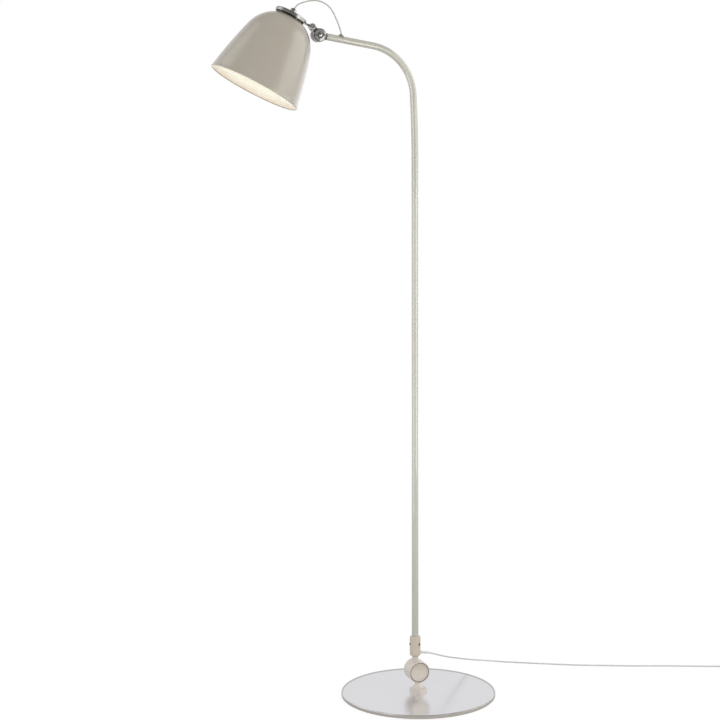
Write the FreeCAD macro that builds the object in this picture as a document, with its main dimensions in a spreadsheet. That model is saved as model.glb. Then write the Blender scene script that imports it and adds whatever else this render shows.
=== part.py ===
import FreeCAD, Part
import math
import os

import Sketcher

Vector = FreeCAD.Vector
Rotation = FreeCAD.Rotation
Placement = FreeCAD.Placement

os.makedirs("parts", exist_ok=True)
doc = FreeCAD.newDocument("reading_floor_lamp")

# Driving dimensions, in millimetres and degrees.
# Heights in the pole are counted upwards from the piece below.
DIMENSIONS = [
    # base plate and what is under it
    ("base_diameter", 300.0),
    ("plate_thickness", 7.0),
    ("plate_edge", 2.2),
    ("felt_thickness", 1.0),
    ("felt_inset", 4.0),
    ("head_recess_diameter", 20.0),
    ("head_recess_depth", 4.2),
    # bolt that holds the stem to the plate
    ("bolt_diameter", 8.0),
    ("bolt_head_diameter", 14.0),
    ("bolt_head_height", 2.7),
    ("bolt_reach", 14.0),
    ("washer_diameter", 18.0),
    ("washer_thickness", 1.2),
    # stem of the lower hinge half
    ("collar_diameter", 34.0),
    ("collar_height", 6.0),
    ("cone_top_diameter", 28.5),
    ("cone_height", 10.0),
    ("stem_diameter", 13.0),
    # tilt hinge at the foot of the pole
    ("hinge_rise", 39.0),
    ("hinge_diameter", 42.4),
    ("hinge_half", 15.5),
    ("hinge_round", 1.6),
    ("friction_disc", 0.8),
    ("friction_disc_inset", 0.8),
    ("face_recess_diameter", 38.4),
    ("face_recess_depth", 3.2),
    ("face_cap_thickness", 3.0),
    ("face_cap_gap", 0.9),
    ("hinge_bolt_diameter", 8.0),
    ("hinge_bolt_head", 13.0),
    ("hinge_bolt_head_height", 5.5),
    ("hinge_pocket_diameter", 19.0),
    ("front_pocket_depth", 6.0),
    ("rear_pocket_depth", 7.5),
    ("spring_washer", 1.5),
    ("hinge_nut_height", 5.7),
    ("hinge_nut_flats", 13.0),
    # neck and sleeve
    ("neck_diameter", 12.0),
    ("neck_length", 6.3),
    ("stud_length", 3.0),
    ("sleeve_diameter", 21.2),
    ("sleeve_length", 39.3),
    ("sleeve_floor", 3.3),
    ("sleeve_foot_round", 3.4),
    ("sleeve_top_round", 1.8),
    ("sleeve_cavity_diameter", 10.0),
    ("tube_seat", 15.5),
    ("cord_hole_rise", 8.0),
    ("cord_hole_diameter", 5.0),
    ("cord_hole_slope", 10.4),
    ("set_screw_rise", 24.3),
    ("set_screw_diameter", 4.0),
    ("set_screw_stand", 0.8),
    # tubes of the pole
    ("tube_diameter", 13.0),
    ("tube_wall", 1.0),
    ("lower_tube_length", 647.0),
    ("seam_gap", 0.3),
    ("joiner_length", 60.0),
    ("joiner_bore", 7.0),
    ("upper_straight", 300.0),
    ("bow_radius", 2150.0),
    ("bow_angle", 3.3),
    ("bend_radius", 98.0),
    ("arm_rise", 10.4),
    ("arm_length", 93.0),
    # cord entry on the arm
    ("entry_from_end", 28.0),
    ("entry_hole_diameter", 5.2),
    ("entry_base_diameter", 11.0),
    ("entry_top_diameter", 4.4),
    ("entry_height", 3.6),
    # chrome hinge at the end of the arm
    ("joint_reach", 15.3),
    ("joint_diameter", 24.5),
    ("joint_half", 12.0),
    ("joint_washer", 0.8),
    ("joint_washer_diameter", 23.2),
    ("joint_round", 1.4),
    ("joint_crown", 1.2),
    ("joint_dome_radius", 39.0),
    ("joint_clearance", 0.35),
    ("joint_screw_diameter", 5.0),
    ("joint_screw_head", 7.8),
    ("joint_screw_rim", 1.4),
    ("joint_screw_dome", 1.9),
    ("joint_head_recess", 9.4),
    ("joint_head_depth", 2.2),
    ("joint_nut_flats", 8.0),
    ("joint_nut_height", 3.5),
    ("joint_nut_pocket", 10.4),
    ("joint_nut_depth", 4.4),
    ("spigot_length", 18.0),
    # fork and bracket between the chrome hinge and the crown of the shade
    ("shade_tilt", 29.0),
    ("joint_from_axis", 63.3),
    ("joint_below_cap", 5.7),
    ("eye_from_axis", 44.2),
    ("eye_level", 1.6),
    ("eye_diameter", 11.0),
    ("fork_width", 12.0),
    ("tongue_width", 6.0),
    ("slot_from_joint", 14.4),
    ("eye_screw_diameter", 4.0),
    ("eye_screw_head", 11.0),
    ("eye_screw_height", 3.4),
    ("eye_socket_flats", 3.6),
    ("eye_nut_height", 3.6),
    ("eye_nut_flats", 8.0),
    ("bracket_width", 12.0),
    ("bracket_thickness", 3.0),
    ("bracket_boss_diameter", 24.0),
    ("bracket_shoulder", 34.0),
    ("bracket_waist", 38.4),
    # crown of the shade
    ("nipple_diameter", 8.0),
    ("nipple_bore", 5.2),
    ("crown_hole_diameter", 8.6),
    ("cap_diameter", 61.0),
    ("cap_wall", 1.7),
    ("cap_skirt", 4.8),
    ("cap_round", 1.6),
    ("gasket_diameter", 54.0),
    ("gasket_thickness", 4.6),
    ("bushing_diameter", 12.4),
    ("bushing_height", 10.7),
    ("bushing_round", 4.6),
    ("nipple_above_cap", 6.5),
    ("nipple_below_crown", 14.0),
    ("crown_nut_flats", 13.0),
    ("crown_nut_height", 4.0),
    # shade
    ("shade_height", 142.0),
    ("shade_diameter", 173.6),
    ("shade_crown_diameter", 54.0),
    ("shoulder_diameter", 126.6),
    ("shoulder_height", 100.0),
    ("shoulder_radius", 67.0),
    ("skirt_radius", 830.0),
    ("shoulder_slope", 16.6),
    ("shade_wall", 1.0),
    ("rim_bead", 2.6),
    # lampholder and bulb
    ("holder_diameter", 38.0),
    ("holder_top_diameter", 20.0),
    ("holder_cone", 9.0),
    ("holder_length", 41.0),
    ("holder_wall", 2.4),
    ("holder_bore", 27.4),
    ("holder_bore_depth", 24.0),
    ("contact_thickness", 3.0),
    ("bulb_cap_diameter", 26.2),
    ("bulb_cap_length", 22.0),
    ("globe_diameter", 45.0),
    ("globe_neck_diameter", 23.0),
    ("globe_drop", 23.0),
    ("glass_wall", 0.8),
    # cords
    ("flex_diameter", 2.6),
    ("cord_diameter", 3.0),
    ("relief_length", 20.0),
    ("relief_tip_diameter", 4.0),
    ("coil_radius", 21.0),
    ("coil_pitch", 3.5),
    ("coil_lift", 0.6),
    ("tie_thickness", 0.5),
    ("tie_width", 9.0),
    # plug
    ("plug_width", 35.0),
    ("plug_thickness", 13.7),
    ("plug_length", 33.0),
    ("plug_tail_width", 16.0),
    ("plug_relief_length", 22.0),
    ("pin_diameter", 4.0),
    ("pin_length", 19.0),
    ("pin_spacing", 18.6),
    # fits
    ("thread_fit", 0.05),
    ("running_fit", 0.05),
    ("slide_fit", 0.05),
]
COIL_LAYERS = 4
COIL_TURNS = 9.25

sizes = doc.addObject("Spreadsheet::Sheet", "sizes")
for row, (alias, value) in enumerate(DIMENSIONS, 1):
    sizes.set("A%d" % row, alias.replace("_", " "))
    sizes.set("B%d" % row, str(value))
    sizes.setAlias("B%d" % row, alias)
doc.recompute()

NAMES = sorted((alias for alias, _ in DIMENSIONS), key=len, reverse=True)
nodes = {}


def number(text):
    """The value of an expression in the sheet's own words."""
    return float(sizes.evalExpression(text))


def bound(text):
    """The same expression as another object of the document writes it."""
    words = []
    word = ""
    for letter in text + " ":
        if letter.isalnum() or letter == "_":
            word += letter
            continue
        words.append("sizes." + word if word in NAMES else word)
        words.append(letter)
        word = ""
    return "".join(words).strip()


def keep(name, item):
    """Names a finished piece, which then has a file of its own."""
    item.Label = name
    nodes[name] = item
    return item


def origin_plane(body, role):
    """The body's own origin plane with that role."""
    return [plane for plane in body.Origin.OriginFeatures if plane.Role == role][0]


def sketch_on(body, name, role, offset=0.0):
    """An empty sketch on one of the body's origin planes, moved along the plane's normal."""
    sketch = body.newObject("Sketcher::SketchObject", name)
    sketch.AttachmentSupport = [(origin_plane(body, role), "")]
    sketch.MapMode = "FlatFace"
    sketch.AttachmentOffset = Placement(Vector(0, 0, offset), Rotation())
    return sketch


def fix_point(sketch, edge, end, across, along):
    """Ties one end of an edge to the origin by two sizes."""
    for kind, text, axis in (("DistanceX", across, -2), ("DistanceY", along, -1)):
        value = number(text)
        if abs(value) < 1e-9:
            sketch.addConstraint(Sketcher.Constraint("PointOnObject", edge, end, axis))
            continue
        index = sketch.addConstraint(Sketcher.Constraint(kind, -1, 1, edge, end, value))
        sketch.setExpression("Constraints[%d]" % index, bound(text))


def arc_between(start, end, radius):
    """The arc that bulges right of its travel for a positive radius, and left for a negative one."""
    chord = end - start
    rise = math.sqrt(max(radius * radius - chord.Length * chord.Length / 4, 0.0))
    side = Vector(-chord.y, chord.x, 0) / chord.Length
    centre = (start + end) / 2 + side * (rise if radius > 0 else -rise)
    first, last = (start, end) if radius > 0 else (end, start)
    circle = Part.Circle(centre, Vector(0, 0, 1), abs(radius))
    angle_of = lambda point: math.atan2(point.y - centre.y, point.x - centre.x)
    return Part.ArcOfCircle(circle, angle_of(first), angle_of(last))


def draw_outline(sketch, corners):
    """A closed outline. A corner is (across, along), with the radius of an arc that follows as its third."""
    points = [Vector(number(corner[0]), number(corner[1]), 0) for corner in corners]
    ends = []
    for index, corner in enumerate(corners):
        start = points[index]
        end = points[(index + 1) % len(points)]
        if len(corner) == 2:
            edge = sketch.addGeometry(Part.LineSegment(start, end))
            ends.append((edge, 1, 2))
            continue
        radius = number(corner[2])
        edge = sketch.addGeometry(arc_between(start, end, radius))
        ends.append((edge, 1, 2) if radius > 0 else (edge, 2, 1))
        size = corner[2] if radius > 0 else "-(" + corner[2] + ")"
        index_of = sketch.addConstraint(Sketcher.Constraint("Radius", edge, abs(radius)))
        sketch.setExpression("Constraints[%d]" % index_of, bound(size))
    for index, (edge, first, last) in enumerate(ends):
        after, after_first, _ = ends[(index + 1) % len(ends)]
        sketch.addConstraint(Sketcher.Constraint("Coincident", edge, last, after, after_first))
    for (edge, first, _), corner in zip(ends, corners):
        fix_point(sketch, edge, first, corner[0], corner[1])
    return sketch


def draw_circle(sketch, across, along, radius):
    """A circle whose centre and radius are tied to sizes."""
    centre = Vector(number(across), number(along), 0)
    edge = sketch.addGeometry(Part.Circle(centre, Vector(0, 0, 1), number(radius)))
    fix_point(sketch, edge, 3, across, along)
    index = sketch.addConstraint(Sketcher.Constraint("Radius", edge, number(radius)))
    sketch.setExpression("Constraints[%d]" % index, bound(radius))
    return sketch


def turned(name, corners, place=Placement()):
    """A piece turned about its own Z axis from half an outline, given as (radius, height)."""
    body = doc.addObject("PartDesign::Body", name)
    sketch = draw_outline(sketch_on(body, name + "_outline", "XZ_Plane"), corners)
    spin = body.newObject("PartDesign::Revolution", name + "_turning")
    spin.Profile = sketch
    spin.ReferenceAxis = (sketch, ["V_Axis"])
    spin.Angle = 360.0
    body.Placement = place
    return body


def cut_flat(name, corners, thickness, place=Placement(), role="XZ_Plane"):
    """A plate cut to an outline, half its thickness each side of the plane."""
    body = doc.addObject("PartDesign::Body", name)
    sketch = draw_outline(sketch_on(body, name + "_outline", role), corners)
    pad = body.newObject("PartDesign::Pad", name + "_pad")
    pad.Profile = sketch
    pad.SideType = "Symmetric"
    pad.setExpression("Length", bound(thickness))
    body.Placement = place
    return body


def rod(name, radius, height, place=Placement()):
    """A plain cylinder along its own Z axis."""
    item = doc.addObject("Part::Cylinder", name)
    item.setExpression("Radius", bound(radius))
    item.setExpression("Height", bound(height))
    item.Placement = place
    return item


def block(name, length, width, height, place=Placement()):
    """A plain box from its corner."""
    item = doc.addObject("Part::Box", name)
    item.setExpression("Length", bound(length))
    item.setExpression("Width", bound(width))
    item.setExpression("Height", bound(height))
    item.Placement = place
    return item


def hexagon(name, flats, height, place=Placement()):
    """A hexagonal prism along its own Z axis, by its width across flats."""
    item = doc.addObject("Part::Prism", name)
    item.Polygon = 6
    item.setExpression("Circumradius", bound("(" + flats + ") / 1.7320508"))
    item.setExpression("Height", bound(height))
    item.Placement = place
    return item


def joined(name, items):
    """Several solids as one."""
    item = doc.addObject("Part::MultiFuse", name)
    item.Shapes = items
    item.Refine = True
    return item


def cut_away(name, base, tool):
    """A solid less another."""
    item = doc.addObject("Part::Cut", name)
    item.Base = base
    item.Tool = tool
    return item


def together(name, items):
    """Separate solids in one node."""
    item = doc.addObject("Part::Compound", name)
    item.Links = items
    return item


def plain(name, shape, place=Placement()):
    """A piece whose solid is made directly."""
    item = doc.addObject("Part::Feature", name)
    item.Shape = shape
    item.Placement = place
    return item


def at(x, y, z):
    return Placement(Vector(x, y, z), Rotation())


def turn_about_y(degrees):
    return Placement(Vector(0, 0, 0), Rotation(Vector(0, 1, 0), degrees))


# Two turns: own Z axis to the front (-Y) and to +X.
FACING_FRONT = Placement(Vector(0, 0, 0), Rotation(Vector(1, 0, 0), 90))
ALONG_X = Placement(Vector(0, 0, 0), Rotation(Vector(0, 1, 0), 90))

# Heights and places that several pieces share.
PLATE_TOP = "(felt_thickness + plate_thickness)"
HINGE_AXIS = "(felt_thickness + plate_thickness + hinge_rise)"
SLEEVE_FOOT = "(felt_thickness + plate_thickness + hinge_rise + hinge_diameter / 2 + neck_length)"
POLE_OFFSET = "(hinge_half + friction_disc)"
TUBE_FOOT = "(" + SLEEVE_FOOT + " + tube_seat)"
SEAM = "(" + TUBE_FOOT + " + lower_tube_length)"
LUG_LENGTH = "sqrt((joint_from_axis - eye_from_axis) ^ 2 + (joint_below_cap + eye_level) ^ 2)"
hinge_axis = number(HINGE_AXIS)
pole_y = number(POLE_OFFSET)
sleeve_foot = number(SLEEVE_FOOT)
tube_foot = number(TUBE_FOOT)
seam = number(SEAM)
pole = at(0, pole_y, 0)
hinge = at(0, pole_y / 2, hinge_axis).multiply(FACING_FRONT)
outlet_place = at(0, pole_y, number(SLEEVE_FOOT + " + cord_hole_rise"))
outlet = outlet_place.multiply(turn_about_y(number("cord_hole_slope")))


class PolePath:
    """The centreline of the pole and its arm, in the plane of the arm."""

    def __init__(self):
        self.foot = seam + number("seam_gap")
        self.bow_start = self.foot + number("upper_straight")
        bow = number("bow_radius")
        bend = number("bend_radius")
        lean = math.radians(number("bow_angle"))
        turn = math.radians(90 - number("arm_rise"))
        self.bow_end = (-bow * (1 - math.cos(lean)), self.bow_start + bow * math.sin(lean))
        across = self.bow_end[0] - bend * (math.cos(lean) - math.cos(turn))
        up = self.bow_end[1] + bend * (math.sin(turn) - math.sin(lean))
        self.bend_end = (across, up)
        self.lean = lean
        self.turn = turn
        self.way = (-math.sin(turn), math.cos(turn))
        self.arm_end = self.along_arm(number("arm_length"))

    def along_arm(self, distance):
        """The point that far along the arm from the end of the bend."""
        return (self.bend_end[0] + distance * self.way[0], self.bend_end[1] + distance * self.way[1])

    def bow_middle(self):
        bow = number("bow_radius")
        half = self.lean / 2
        return (-bow * (1 - math.cos(half)), self.bow_start + bow * math.sin(half))

    def bend_middle(self):
        bend = number("bend_radius")
        half = (self.lean + self.turn) / 2
        across = self.bow_end[0] - bend * (math.cos(self.lean) - math.cos(half))
        return (across, self.bow_end[1] + bend * (math.sin(half) - math.sin(self.lean)))


path = PolePath()
joint_x, joint_z = path.along_arm(number("arm_length + joint_reach"))

# The arm's frame starts at the chrome hinge, with X back along the arm to the bend.
arm_frame = Placement(Vector(joint_x, pole_y, joint_z), Rotation(Vector(0, 1, 0), number("arm_rise")))
head_turn = Rotation(Vector(0, 1, 0), number("shade_tilt"))
joint_in_head = Vector(number("joint_from_axis"), 0, -number("joint_below_cap"))
head_centre = Vector(joint_x, pole_y, joint_z) - head_turn.multVec(joint_in_head)

# The head's frame has Z up the shade's axis and starts at the middle of the crown cap.
head = Placement(head_centre, head_turn)
eye_in_head = Vector(number("eye_from_axis"), 0, number("eye_level"))
lug = eye_in_head - joint_in_head
lug_turn = math.degrees(math.atan2(-lug.z, lug.x))
lug_frame = head.multiply(Placement(joint_in_head, Rotation(Vector(0, 1, 0), lug_turn)))
joint_front = Placement(Vector(joint_x, pole_y, joint_z), Rotation()).multiply(FACING_FRONT)
eye_front = head.multiply(Placement(eye_in_head, Rotation())).multiply(FACING_FRONT)


def tube_between(points, radius):
    """A round tube with straight runs and tangent arcs. Prints its least radius and its length."""
    edges = []
    tightest = 1e9
    last = points[0]
    for index in range(1, len(points) - 1):
        before, corner, after = points[index - 1], points[index], points[index + 1]
        into = (corner - before).normalize()
        out = (after - corner).normalize()
        turn = into.getAngle(out)
        run = min((corner - before).Length, (after - corner).Length)
        reach = 0.45 * run
        arc_radius = reach / math.tan(turn / 2)
        tightest = min(tightest, arc_radius)
        start = corner - into * reach
        end = corner + out * reach
        centre_way = (out - into).normalize()
        depth = arc_radius / math.cos(turn / 2) - arc_radius
        edges.append(Part.LineSegment(last, start).toShape())
        edges.append(Part.Arc(start, corner + centre_way * depth, end).toShape())
        last = end
    edges.append(Part.LineSegment(last, points[-1]).toShape())
    wire = Part.Wire(edges)
    ring = Part.Wire([Part.Circle(points[0], points[1] - points[0], radius).toShape()])
    solid = wire.makePipeShell([ring], True, False)
    share = solid.Volume / (math.pi * radius * radius * wire.Length)
    print("  least radius %.1f, length %.1f, volume share %.4f" % (tightest, wire.Length, share))
    return solid


def wire_tube(edges, start, way, radius):
    """A round tube along edges that are already tangent."""
    wire = Part.Wire(edges)
    ring = Part.Wire([Part.Circle(start, way, radius).toShape()])
    return wire.makePipeShell([ring], True, False)


def make_base():
    """The heavy plate on its felt, with the bolt that holds the stem."""
    keep("base_felt", rod("felt", "base_diameter / 2 - felt_inset", "felt_thickness"))
    recess_top = "(felt_thickness + head_recess_depth)"
    keep("base_plate", turned("plate", [
        ("bolt_diameter / 2 + 0.2", recess_top),
        ("head_recess_diameter / 2", recess_top),
        ("head_recess_diameter / 2", "felt_thickness"),
        ("base_diameter / 2 - plate_edge / 3", "felt_thickness"),
        ("base_diameter / 2", "felt_thickness + plate_edge / 3"),
        ("base_diameter / 2", PLATE_TOP + " - plate_edge", "plate_edge"),
        ("base_diameter / 2 - plate_edge", PLATE_TOP),
        ("bolt_diameter / 2 + 0.2", PLATE_TOP),
    ]))
    keep("base_bolt_washer", turned("bolt_washer", [
        ("bolt_diameter / 2 + 0.2", recess_top + " - washer_thickness"),
        ("washer_diameter / 2", recess_top + " - washer_thickness"),
        ("washer_diameter / 2", recess_top),
        ("bolt_diameter / 2 + 0.2", recess_top),
    ]))
    head_top = "(" + recess_top + " - washer_thickness)"
    bolt = turned("bolt_blank", [
        ("0", head_top + " - bolt_head_height"),
        ("bolt_head_diameter / 2 - 0.6", head_top + " - bolt_head_height"),
        ("bolt_head_diameter / 2", head_top + " - bolt_head_height + 0.6"),
        ("bolt_head_diameter / 2", head_top),
        ("bolt_diameter / 2", head_top),
        ("bolt_diameter / 2", PLATE_TOP + " + bolt_reach - 1"),
        ("bolt_diameter / 2 - 1", PLATE_TOP + " + bolt_reach"),
        ("0", PLATE_TOP + " + bolt_reach"),
    ])
    socket_foot = number(head_top + " - bolt_head_height") - 1
    socket_deep = "bolt_head_height * 0.7 + 1"
    socket = hexagon("bolt_socket", "bolt_diameter * 0.62", socket_deep, at(0, 0, socket_foot))
    keep("base_bolt", cut_away("bolt", bolt, socket))


def hinge_half(name, front, with_pocket):
    """A disc of the tilt hinge, turned about the hinge axis, open towards its outer face."""
    inner = "friction_disc / 2"
    outer = "(friction_disc / 2 + hinge_half)"
    floor = "(" + outer + " - face_recess_depth)"
    corners = [
        ("hinge_bolt_diameter / 2 + running_fit", inner),
        ("hinge_diameter / 2 - hinge_round / 2", inner),
        ("hinge_diameter / 2", inner + " + hinge_round / 2"),
        ("hinge_diameter / 2", outer + " - hinge_round", "hinge_round"),
        ("hinge_diameter / 2 - hinge_round", outer),
        ("face_recess_diameter / 2", outer),
        ("face_recess_diameter / 2", floor),
        ("hinge_pocket_diameter / 2", floor),
        ("hinge_pocket_diameter / 2", floor + " - " + with_pocket),
        ("hinge_bolt_diameter / 2 + running_fit", floor + " - " + with_pocket),
    ]
    side = Placement() if front else Placement(Vector(0, 0, 0), Rotation(Vector(1, 0, 0), 180))
    return turned(name, corners, hinge.multiply(side))


def face_cap(name, front):
    """The shallow lid in a hinge half, slightly dished, with a dark gap all round."""
    floor = "(friction_disc / 2 + hinge_half - face_recess_depth)"
    radius = "(face_recess_diameter / 2 - face_cap_gap)"
    side = Placement() if front else Placement(Vector(0, 0, 0), Rotation(Vector(1, 0, 0), 180))
    return turned(name, [
        ("0", floor),
        (radius, floor),
        (radius, floor + " + face_cap_thickness - 0.5", "0.5"),
        (radius + " - 0.5", floor + " + face_cap_thickness"),
        (radius + " - 2.6", floor + " + face_cap_thickness"),
        (radius + " - 3.4", floor + " + face_cap_thickness - 0.5"),
        ("0", floor + " + face_cap_thickness - 0.5"),
    ], hinge.multiply(side))


def make_tilt_hinge():
    """The two halves at the foot of the pole, their bolt, nut and friction disc."""
    stem = turned("stem", [
        ("bolt_diameter / 2 + thread_fit", PLATE_TOP),
        ("collar_diameter / 2", PLATE_TOP),
        ("collar_diameter / 2", PLATE_TOP + " + collar_height - 1", "1"),
        ("collar_diameter / 2 - 1", PLATE_TOP + " + collar_height"),
        ("cone_top_diameter / 2", PLATE_TOP + " + collar_height + 0.4", "-14"),
        ("stem_diameter / 2", PLATE_TOP + " + collar_height + cone_height"),
        ("stem_diameter / 2", HINGE_AXIS + " - face_recess_diameter / 2 - 0.5"),
        ("0", HINGE_AXIS + " - face_recess_diameter / 2 - 0.5"),
        ("0", PLATE_TOP + " + bolt_reach + 1"),
        ("bolt_diameter / 2 + thread_fit", PLATE_TOP + " + bolt_reach + 1"),
    ])
    lower_disc = hinge_half("lower_disc", True, "front_pocket_depth")
    keep("tilt_hinge_lower_half", joined("lower_half", [stem, lower_disc]))
    neck = turned("neck", [
        ("0", HINGE_AXIS + " + face_recess_diameter / 2 + 0.5"),
        ("neck_diameter / 2", HINGE_AXIS + " + face_recess_diameter / 2 + 0.5"),
        ("neck_diameter / 2", SLEEVE_FOOT),
        ("bolt_diameter / 2", SLEEVE_FOOT),
        ("bolt_diameter / 2", SLEEVE_FOOT + " + stud_length"),
        ("0", SLEEVE_FOOT + " + stud_length"),
    ], pole)
    upper_disc = hinge_half("upper_disc", False, "rear_pocket_depth")
    keep("tilt_hinge_upper_half", joined("upper_half", [neck, upper_disc]))
    keep("tilt_hinge_friction_disc", turned("friction_ring", [
        ("hinge_bolt_diameter / 2 + running_fit", "-friction_disc / 2"),
        ("hinge_diameter / 2 - friction_disc_inset", "-friction_disc / 2"),
        ("hinge_diameter / 2 - friction_disc_inset", "friction_disc / 2"),
        ("hinge_bolt_diameter / 2 + running_fit", "friction_disc / 2"),
    ], hinge))
    seat = "(friction_disc / 2 + hinge_half - face_recess_depth - front_pocket_depth)"
    rear_seat = "(friction_disc / 2 + hinge_half - face_recess_depth - rear_pocket_depth)"
    rear_end = "(" + rear_seat + " + spring_washer + hinge_nut_height)"
    bolt = turned("hinge_bolt_blank", [
        ("0", "-" + rear_end),
        ("hinge_bolt_diameter / 2 - 0.8", "-" + rear_end),
        ("hinge_bolt_diameter / 2", "-" + rear_end + " + 0.8"),
        ("hinge_bolt_diameter / 2", seat),
        ("hinge_bolt_head / 2", seat),
        ("hinge_bolt_head / 2", seat + " + hinge_bolt_head_height - 0.8"),
        ("hinge_bolt_head / 2 - 0.8", seat + " + hinge_bolt_head_height"),
        ("0", seat + " + hinge_bolt_head_height"),
    ], hinge)
    socket_place = hinge.multiply(at(0, 0, number(seat + " + hinge_bolt_head_height / 2")))
    socket_wide = "hinge_bolt_diameter * 0.75"
    socket = hexagon("hinge_bolt_socket", socket_wide, "hinge_bolt_head_height", socket_place)
    keep("tilt_hinge_bolt", cut_away("hinge_bolt", bolt, socket))
    keep("tilt_hinge_spring_washer", turned("spring_ring", [
        ("hinge_bolt_diameter / 2 + 0.2", "-" + rear_seat + " - spring_washer"),
        ("hinge_bolt_head / 2", "-" + rear_seat + " - spring_washer"),
        ("hinge_bolt_head / 2", "-" + rear_seat),
        ("hinge_bolt_diameter / 2 + 0.2", "-" + rear_seat),
    ], hinge))
    nut_place = hinge.multiply(at(0, 0, -number(rear_end)))
    nut = hexagon("hinge_nut_blank", "hinge_nut_flats", "hinge_nut_height", nut_place)
    bore = rod("hinge_nut_bore", "hinge_bolt_diameter / 2 + thread_fit", "hinge_nut_height", nut_place)
    keep("tilt_hinge_nut", cut_away("hinge_nut", nut, bore))
    keep("tilt_hinge_front_cap", face_cap("front_cap", True))
    keep("tilt_hinge_rear_cap", face_cap("rear_cap", False))


def make_sleeve():
    """The turned sleeve that clamps the pole, its three set screws and the cord's strain relief."""
    top = "(" + SLEEVE_FOOT + " + sleeve_length)"
    blank = turned("sleeve_blank", [
        ("bolt_diameter / 2 + thread_fit", SLEEVE_FOOT),
        ("sleeve_diameter / 2 - sleeve_foot_round", SLEEVE_FOOT, "sleeve_foot_round"),
        ("sleeve_diameter / 2", SLEEVE_FOOT + " + sleeve_foot_round"),
        ("sleeve_diameter / 2", top + " - sleeve_top_round", "sleeve_top_round"),
        ("sleeve_diameter / 2 - sleeve_top_round", top),
        ("tube_diameter / 2 + slide_fit", top),
        ("tube_diameter / 2 + slide_fit", TUBE_FOOT),
        ("sleeve_cavity_diameter / 2", TUBE_FOOT),
        ("sleeve_cavity_diameter / 2", SLEEVE_FOOT + " + sleeve_floor"),
        ("bolt_diameter / 2 + thread_fit", SLEEVE_FOOT + " + sleeve_floor"),
    ], pole)
    clear_of_axis = at(0, 0, 3)
    cord_hole_start = outlet.multiply(ALONG_X).multiply(clear_of_axis)
    holes = [rod("sleeve_cord_hole", "cord_hole_diameter / 2", "sleeve_diameter", cord_hole_start)]
    screw_centre = at(0, pole_y, number(SLEEVE_FOOT + " + set_screw_rise"))
    screws = []
    for side, angle in (("left", 180), ("front", -60), ("rear", 60)):
        turn = Placement(Vector(0, 0, 0), Rotation(Vector(0, 0, 1), angle))
        place = screw_centre.multiply(turn).multiply(ALONG_X)
        hole = "set_screw_diameter / 2 + thread_fit"
        hole_place = place.multiply(clear_of_axis)
        holes.append(rod("sleeve_screw_hole_" + side, hole, "sleeve_diameter", hole_place))
        tip = "(tube_diameter / 2 + slide_fit)"
        end = "(sleeve_diameter / 2 + set_screw_stand)"
        grub = turned("set_screw_" + side, [
            ("0", tip),
            ("set_screw_diameter / 2 - 0.5", tip),
            ("set_screw_diameter / 2", tip + " + 0.5"),
            ("set_screw_diameter / 2", end + " - 0.3"),
            ("set_screw_diameter / 2 - 0.3", end),
            ("0", end),
        ], place)
        socket_place = place.multiply(at(0, 0, number(end + " - set_screw_diameter / 2")))
        socket_name = "set_screw_socket_" + side
        socket = hexagon(socket_name, "set_screw_diameter / 2", "set_screw_diameter", socket_place)
        screws.append(cut_away("set_screw_cut_" + side, grub, socket))
    keep("pole_sleeve", cut_away("sleeve", blank, together("sleeve_holes", holes)))
    keep("sleeve_set_screws", together("set_screws", screws))
    keep("sleeve_strain_relief", turned("relief", [
        ("cord_diameter / 2 + 0.05", "sleeve_cavity_diameter / 2 + 0.2"),
        ("cord_hole_diameter / 2 - 0.05", "sleeve_cavity_diameter / 2 + 0.2"),
        ("cord_hole_diameter / 2 - 0.05", "sleeve_diameter / 2 + 1"),
        ("relief_tip_diameter / 2", "sleeve_diameter / 2 + relief_length"),
        ("cord_diameter / 2 + 0.05", "sleeve_diameter / 2 + relief_length"),
    ], outlet.multiply(ALONG_X)))


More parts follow.
